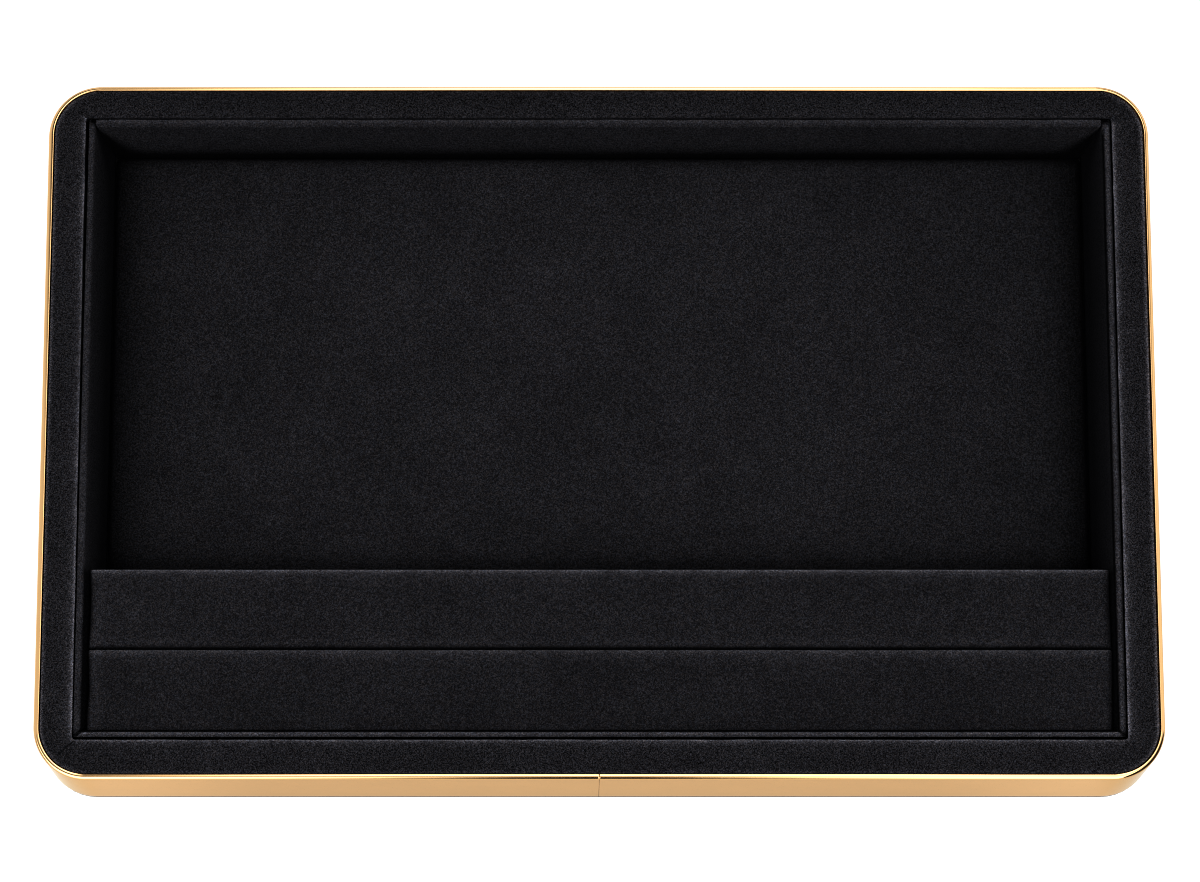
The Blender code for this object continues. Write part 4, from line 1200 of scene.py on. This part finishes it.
# ------------------------------------------------------------------ stage: pale floor, light, camera
def make_stage():
    mesh = bpy.data.meshes.new("studio_floor")
    bm = bmesh.new()
    bmesh.ops.create_grid(bm, x_segments=2, y_segments=2, size=12.0)
    bm.to_mesh(mesh)
    bm.free()
    ob = bpy.data.objects.new("studio_floor", mesh)
    ob.location = (0.0, 0.0, -0.0004)
    scene.collection.objects.link(ob)
    mat = bpy.data.materials.new("studio_floor")
    mat.use_nodes = True
    tree = mat.node_tree
    bsdf = tree.nodes["Principled BSDF"]
    bsdf.inputs["Base Color"].default_value = (0.15, 0.15, 0.15, 1.0)
    bsdf.inputs["Roughness"].default_value = 0.9
    bsdf.inputs["Specular IOR Level"].default_value = 0.0
    bsdf.inputs["Emission Color"].default_value = (1.0, 1.0, 1.0, 1.0)
    t = Tree("stage", tree)
    split = t.node("ShaderNodeSeparateXYZ")
    t.link(t.coords(), split.inputs["Vector"])
    apart = t.math("ABSOLUTE", split.outputs["X"])
    # the floor is a lamp whose light is laid out unevenly as a painted reflection for the metal: brighter beyond 0.10
    # to 0.16 m to either side, a little dimmer further right, warm-tinted beside the front corners; camera rays see it
    # evenly white
    side = t.math("MULTIPLY", t.step(apart, 0.10, 0.16), 0.17)
    seen = t.node("ShaderNodeLightPath").outputs["Is Camera Ray"]
    lit = t.math("ADD", side, 0.86)
    # painted reflection: beyond the front right corner the floor's light is dimmed nearly to dark, except for camera
    # rays, so the metal's corner mirrors a dark patch there
    ends = t.product(t.step(split.outputs["X"], 0.205, 0.25), t.step(split.outputs["Y"], -0.112, -0.150))
    lit = t.math("MULTIPLY", lit, t.math("SUBTRACT", 1.0, t.math("MULTIPLY", ends, 0.96)))
    lit = t.math("MULTIPLY", lit, t.math("SUBTRACT", 1.0, t.math("MULTIPLY", t.step(split.outputs["X"], 0.150, 0.172), 0.10)))
    glow = t.product(t.step(apart, 0.156, 0.170), t.step(apart, 0.200, 0.180),
                     t.step(split.outputs["Y"], -0.090, -0.100), t.math("SUBTRACT", 1.0, seen))
    t.link(t.mix(glow, (1.0, 1.0, 1.0), (0.95, 0.93, 0.82)), bsdf.inputs["Emission Color"])
    t.link(t.math("MAXIMUM", lit, t.math("MULTIPLY", seen, 1.1)), bsdf.inputs["Emission Strength"])
    mesh.materials.append(mat)
    return ob


stage_floor = make_stage()


def softbox(name, place, aim, width, height, power, colour=(1.0, 1.0, 1.0)):
    data = bpy.data.lights.new(name, "AREA")
    data.shape = "RECTANGLE"
    data.size = width
    data.size_y = height
    data.energy = power
    data.color = colour
    ob = bpy.data.objects.new(name, data)
    ob.location = place
    ob.rotation_mode = "QUATERNION"
    ob.rotation_quaternion = (Vector(aim) - Vector(place)).to_track_quat("-Z", "Y")
    ob.visible_camera = False
    ob.visible_glossy = False
    scene.collection.objects.link(ob)
    return ob


softbox("key_overhead", (0.0, -0.10, 1.9), (0.0, -0.02, 0.0), 2.3, 1.9, 36.0)
softbox("front_fill", (0.0, -1.65, 1.15), (0.0, 0.0, 0.02), 2.2, 0.8, 9.0)
softbox("back_strip", (0.0, 1.7, 0.95), (0.0, 0.0, 0.02), 2.4, 0.7, 4.0)
softbox("left_strip", (-1.7, 0.1, 0.9), (0.0, 0.0, 0.02), 1.8, 0.7, 2.0)
softbox("right_strip", (1.7, 0.1, 0.9), (0.0, 0.0, 0.02), 1.8, 0.7, 2.0)


def make_world():
    """White for the camera, a soft grey fill for the cloth, and for polished metal the studio that
    it mirrors: an overhead sheet light, side reflectors, and a dark gap in front."""
    world = bpy.data.worlds.new("studio")
    scene.world = world
    world.use_nodes = True
    wt = world.node_tree
    t = Tree("world", wt)
    fill = wt.nodes["Background"]
    fill.inputs["Color"].default_value = (0.92, 0.94, 1.0, 1.0)
    fill.inputs["Strength"].default_value = 0.25
    split = t.node("ShaderNodeSeparateXYZ")
    t.link(t.node("ShaderNodeTexCoord").outputs["Generated"], split.inputs["Vector"])
    u, v, w = (split.outputs[k] for k in ("X", "Y", "Z"))
    fv = t.math("MULTIPLY", v, -1.0)
    # an overhead sheet light: its left edge slants, it ends on the right, and it is dimmer straight
    # above; far back a weaker one reaches from side to side
    slant = t.math("SUBTRACT", u, t.math("ADD", -0.1, t.math("MULTIPLY", t.math("MAXIMUM", v, 0.0), 0.073)))
    gap = t.product(t.step(u, 0.070, 0.096), t.step(u, 0.126, 0.108), t.step(v, 0.25, 0.6), t.step(v, 0.9, 0.7))
    far = t.product(t.step(v, 0.52, 0.74), t.step(t.math("ABSOLUTE", u), 0.5, 0.25))
    sheet = t.product(t.step(slant, -0.035, 0.030), t.step(u, 0.128, 0.114), t.math("SUBTRACT", 1.0, gap))
    bright = t.math("ADD", 1.7, t.math("MULTIPLY", t.step(v, -0.02, 0.24), 1.75))
    # the studio round it, unlit left and right of the sheet towards the back, and close on its left
    wings = t.product(t.step(t.math("ABSOLUTE", t.math("SUBTRACT", u, 0.02)), 0.52, 0.26), t.step(v, 0.19, 0.30), 0.95)
    close = t.product(t.step(u, -0.134, -0.116), t.step(u, 0.05, -0.02), 0.80)
    low = t.product(t.step(u, -0.50, -0.38), t.step(u, 0.05, -0.02), t.step(v, 0.145, 0.09), 0.72)
    dark = t.math("MAXIMUM", t.math("MAXIMUM", wings, close), low)
    room = t.math("ADD", 0.95, t.math("MULTIPLY", t.step(u, 0.10, 0.30), 0.30))
    room = t.product(room, t.math("SUBTRACT", 1.0, dark))
    room = t.math("MAXIMUM", room, t.math("MULTIPLY", far, 1.3))
    back = t.math("ADD", t.product(sheet, bright), t.product(t.math("SUBTRACT", 1.0, sheet), room))
    # in front, two tall panels on either side of a dark gap that widens downwards; the left one
    # starts further out, and beyond the right one the studio is dark
    widen = t.math("ADD", 1.0, t.math("MULTIPLY", t.math("MAXIMUM", t.math("SUBTRACT", fv, 0.45), 0.0), 1.2))
    off = t.math("DIVIDE", t.math("ABSOLUTE", t.math("SUBTRACT", u, 0.004)), widen)
    left = t.step(u, 0.02, -0.05)
    start = t.math("SUBTRACT", 1.0, t.product(left, t.step(fv, 0.34, 0.14), t.step(u, -0.62, -0.45)))
    panels = t.product(t.step(off, 0.008, 0.068), t.step(u, 0.35, 0.28), t.step(u, -0.85, -0.72), start)
    dim = t.math("MULTIPLY", t.step(u, -0.05, -0.12), 0.30)
    front = t.math("ADD", t.math("MULTIPLY", panels, 3.3), t.math("ADD", dim, 0.03))
    turn = t.math("MAXIMUM", t.step(fv, -0.05, 0.13), t.product(t.step(fv, -0.13, -0.02), t.step(u, 0.26, 0.36)))
    total = t.math("ADD", t.math("MULTIPLY", back, t.math("SUBTRACT", 1.0, turn)), t.math("MULTIPLY", front, turn))
    # everything stops short of the floor in front and behind
    foot = t.math("MAXIMUM", t.math("MULTIPLY", t.step(w, 0.24, 0.02), t.step(fv, 0.1, 0.5)),
                  t.math("MULTIPLY", t.step(w, 0.46, 0.10), t.step(v, 0.6, 0.85)))
    total = t.math("MULTIPLY", total, t.math("SUBTRACT", 1.0, t.math("MULTIPLY", foot, 0.7)))
    mirrored = t.node("ShaderNodeBackground")
    mirrored.inputs["Color"].default_value = (1.0, 0.99, 0.97, 1.0)
    t.link(total, mirrored.inputs["Strength"])
    seen = t.node("ShaderNodeBackground")
    seen.inputs["Color"].default_value = (1.0, 1.0, 1.0, 1.0)
    seen.inputs["Strength"].default_value = 1.0
    ray = t.node("ShaderNodeLightPath")
    first = t.node("ShaderNodeMixShader")
    t.link(ray.outputs["Is Glossy Ray"], first.inputs["Fac"])
    t.link(fill.outputs["Background"], first.inputs[1])
    t.link(mirrored.outputs["Background"], first.inputs[2])
    second = t.node("ShaderNodeMixShader")
    t.link(ray.outputs["Is Camera Ray"], second.inputs["Fac"])
    t.link(first.outputs["Shader"], second.inputs[1])
    t.link(seen.outputs["Background"], second.inputs[2])
    t.link(second.outputs["Shader"], wt.nodes["World Output"].inputs["Surface"])


make_world()

scene.view_settings.view_transform = "Standard"
scene.view_settings.look = "None"
scene.view_settings.exposure = 0.0
scene.view_settings.gamma = 0.8
scene.cycles.filter_width = 1.1

CAM_ELEVATION, CAM_DISTANCE, CAM_X, CAM_AIM_Y = 77.2, 1.432, -0.0075, -0.0045
cam_data = bpy.data.cameras.new("camera")
cam_data.sensor_width = 36.0
cam_data.lens = 36.0 * 4568.0 / 1200.0
cam_data.shift_x = 25.0 / 1200.0
cam_data.clip_start, cam_data.clip_end = 0.05, 60.0
cam = bpy.data.objects.new("camera", cam_data)
e = math.radians(CAM_ELEVATION)
cam.location = (CAM_X, CAM_AIM_Y - CAM_DISTANCE * math.cos(e), TOP * MM + CAM_DISTANCE * math.sin(e))
cam.rotation_euler = (math.radians(90.0 - CAM_ELEVATION), 0.0, 0.0)
scene.collection.objects.link(cam)
scene.camera = cam

bpy.context.view_layer.update()
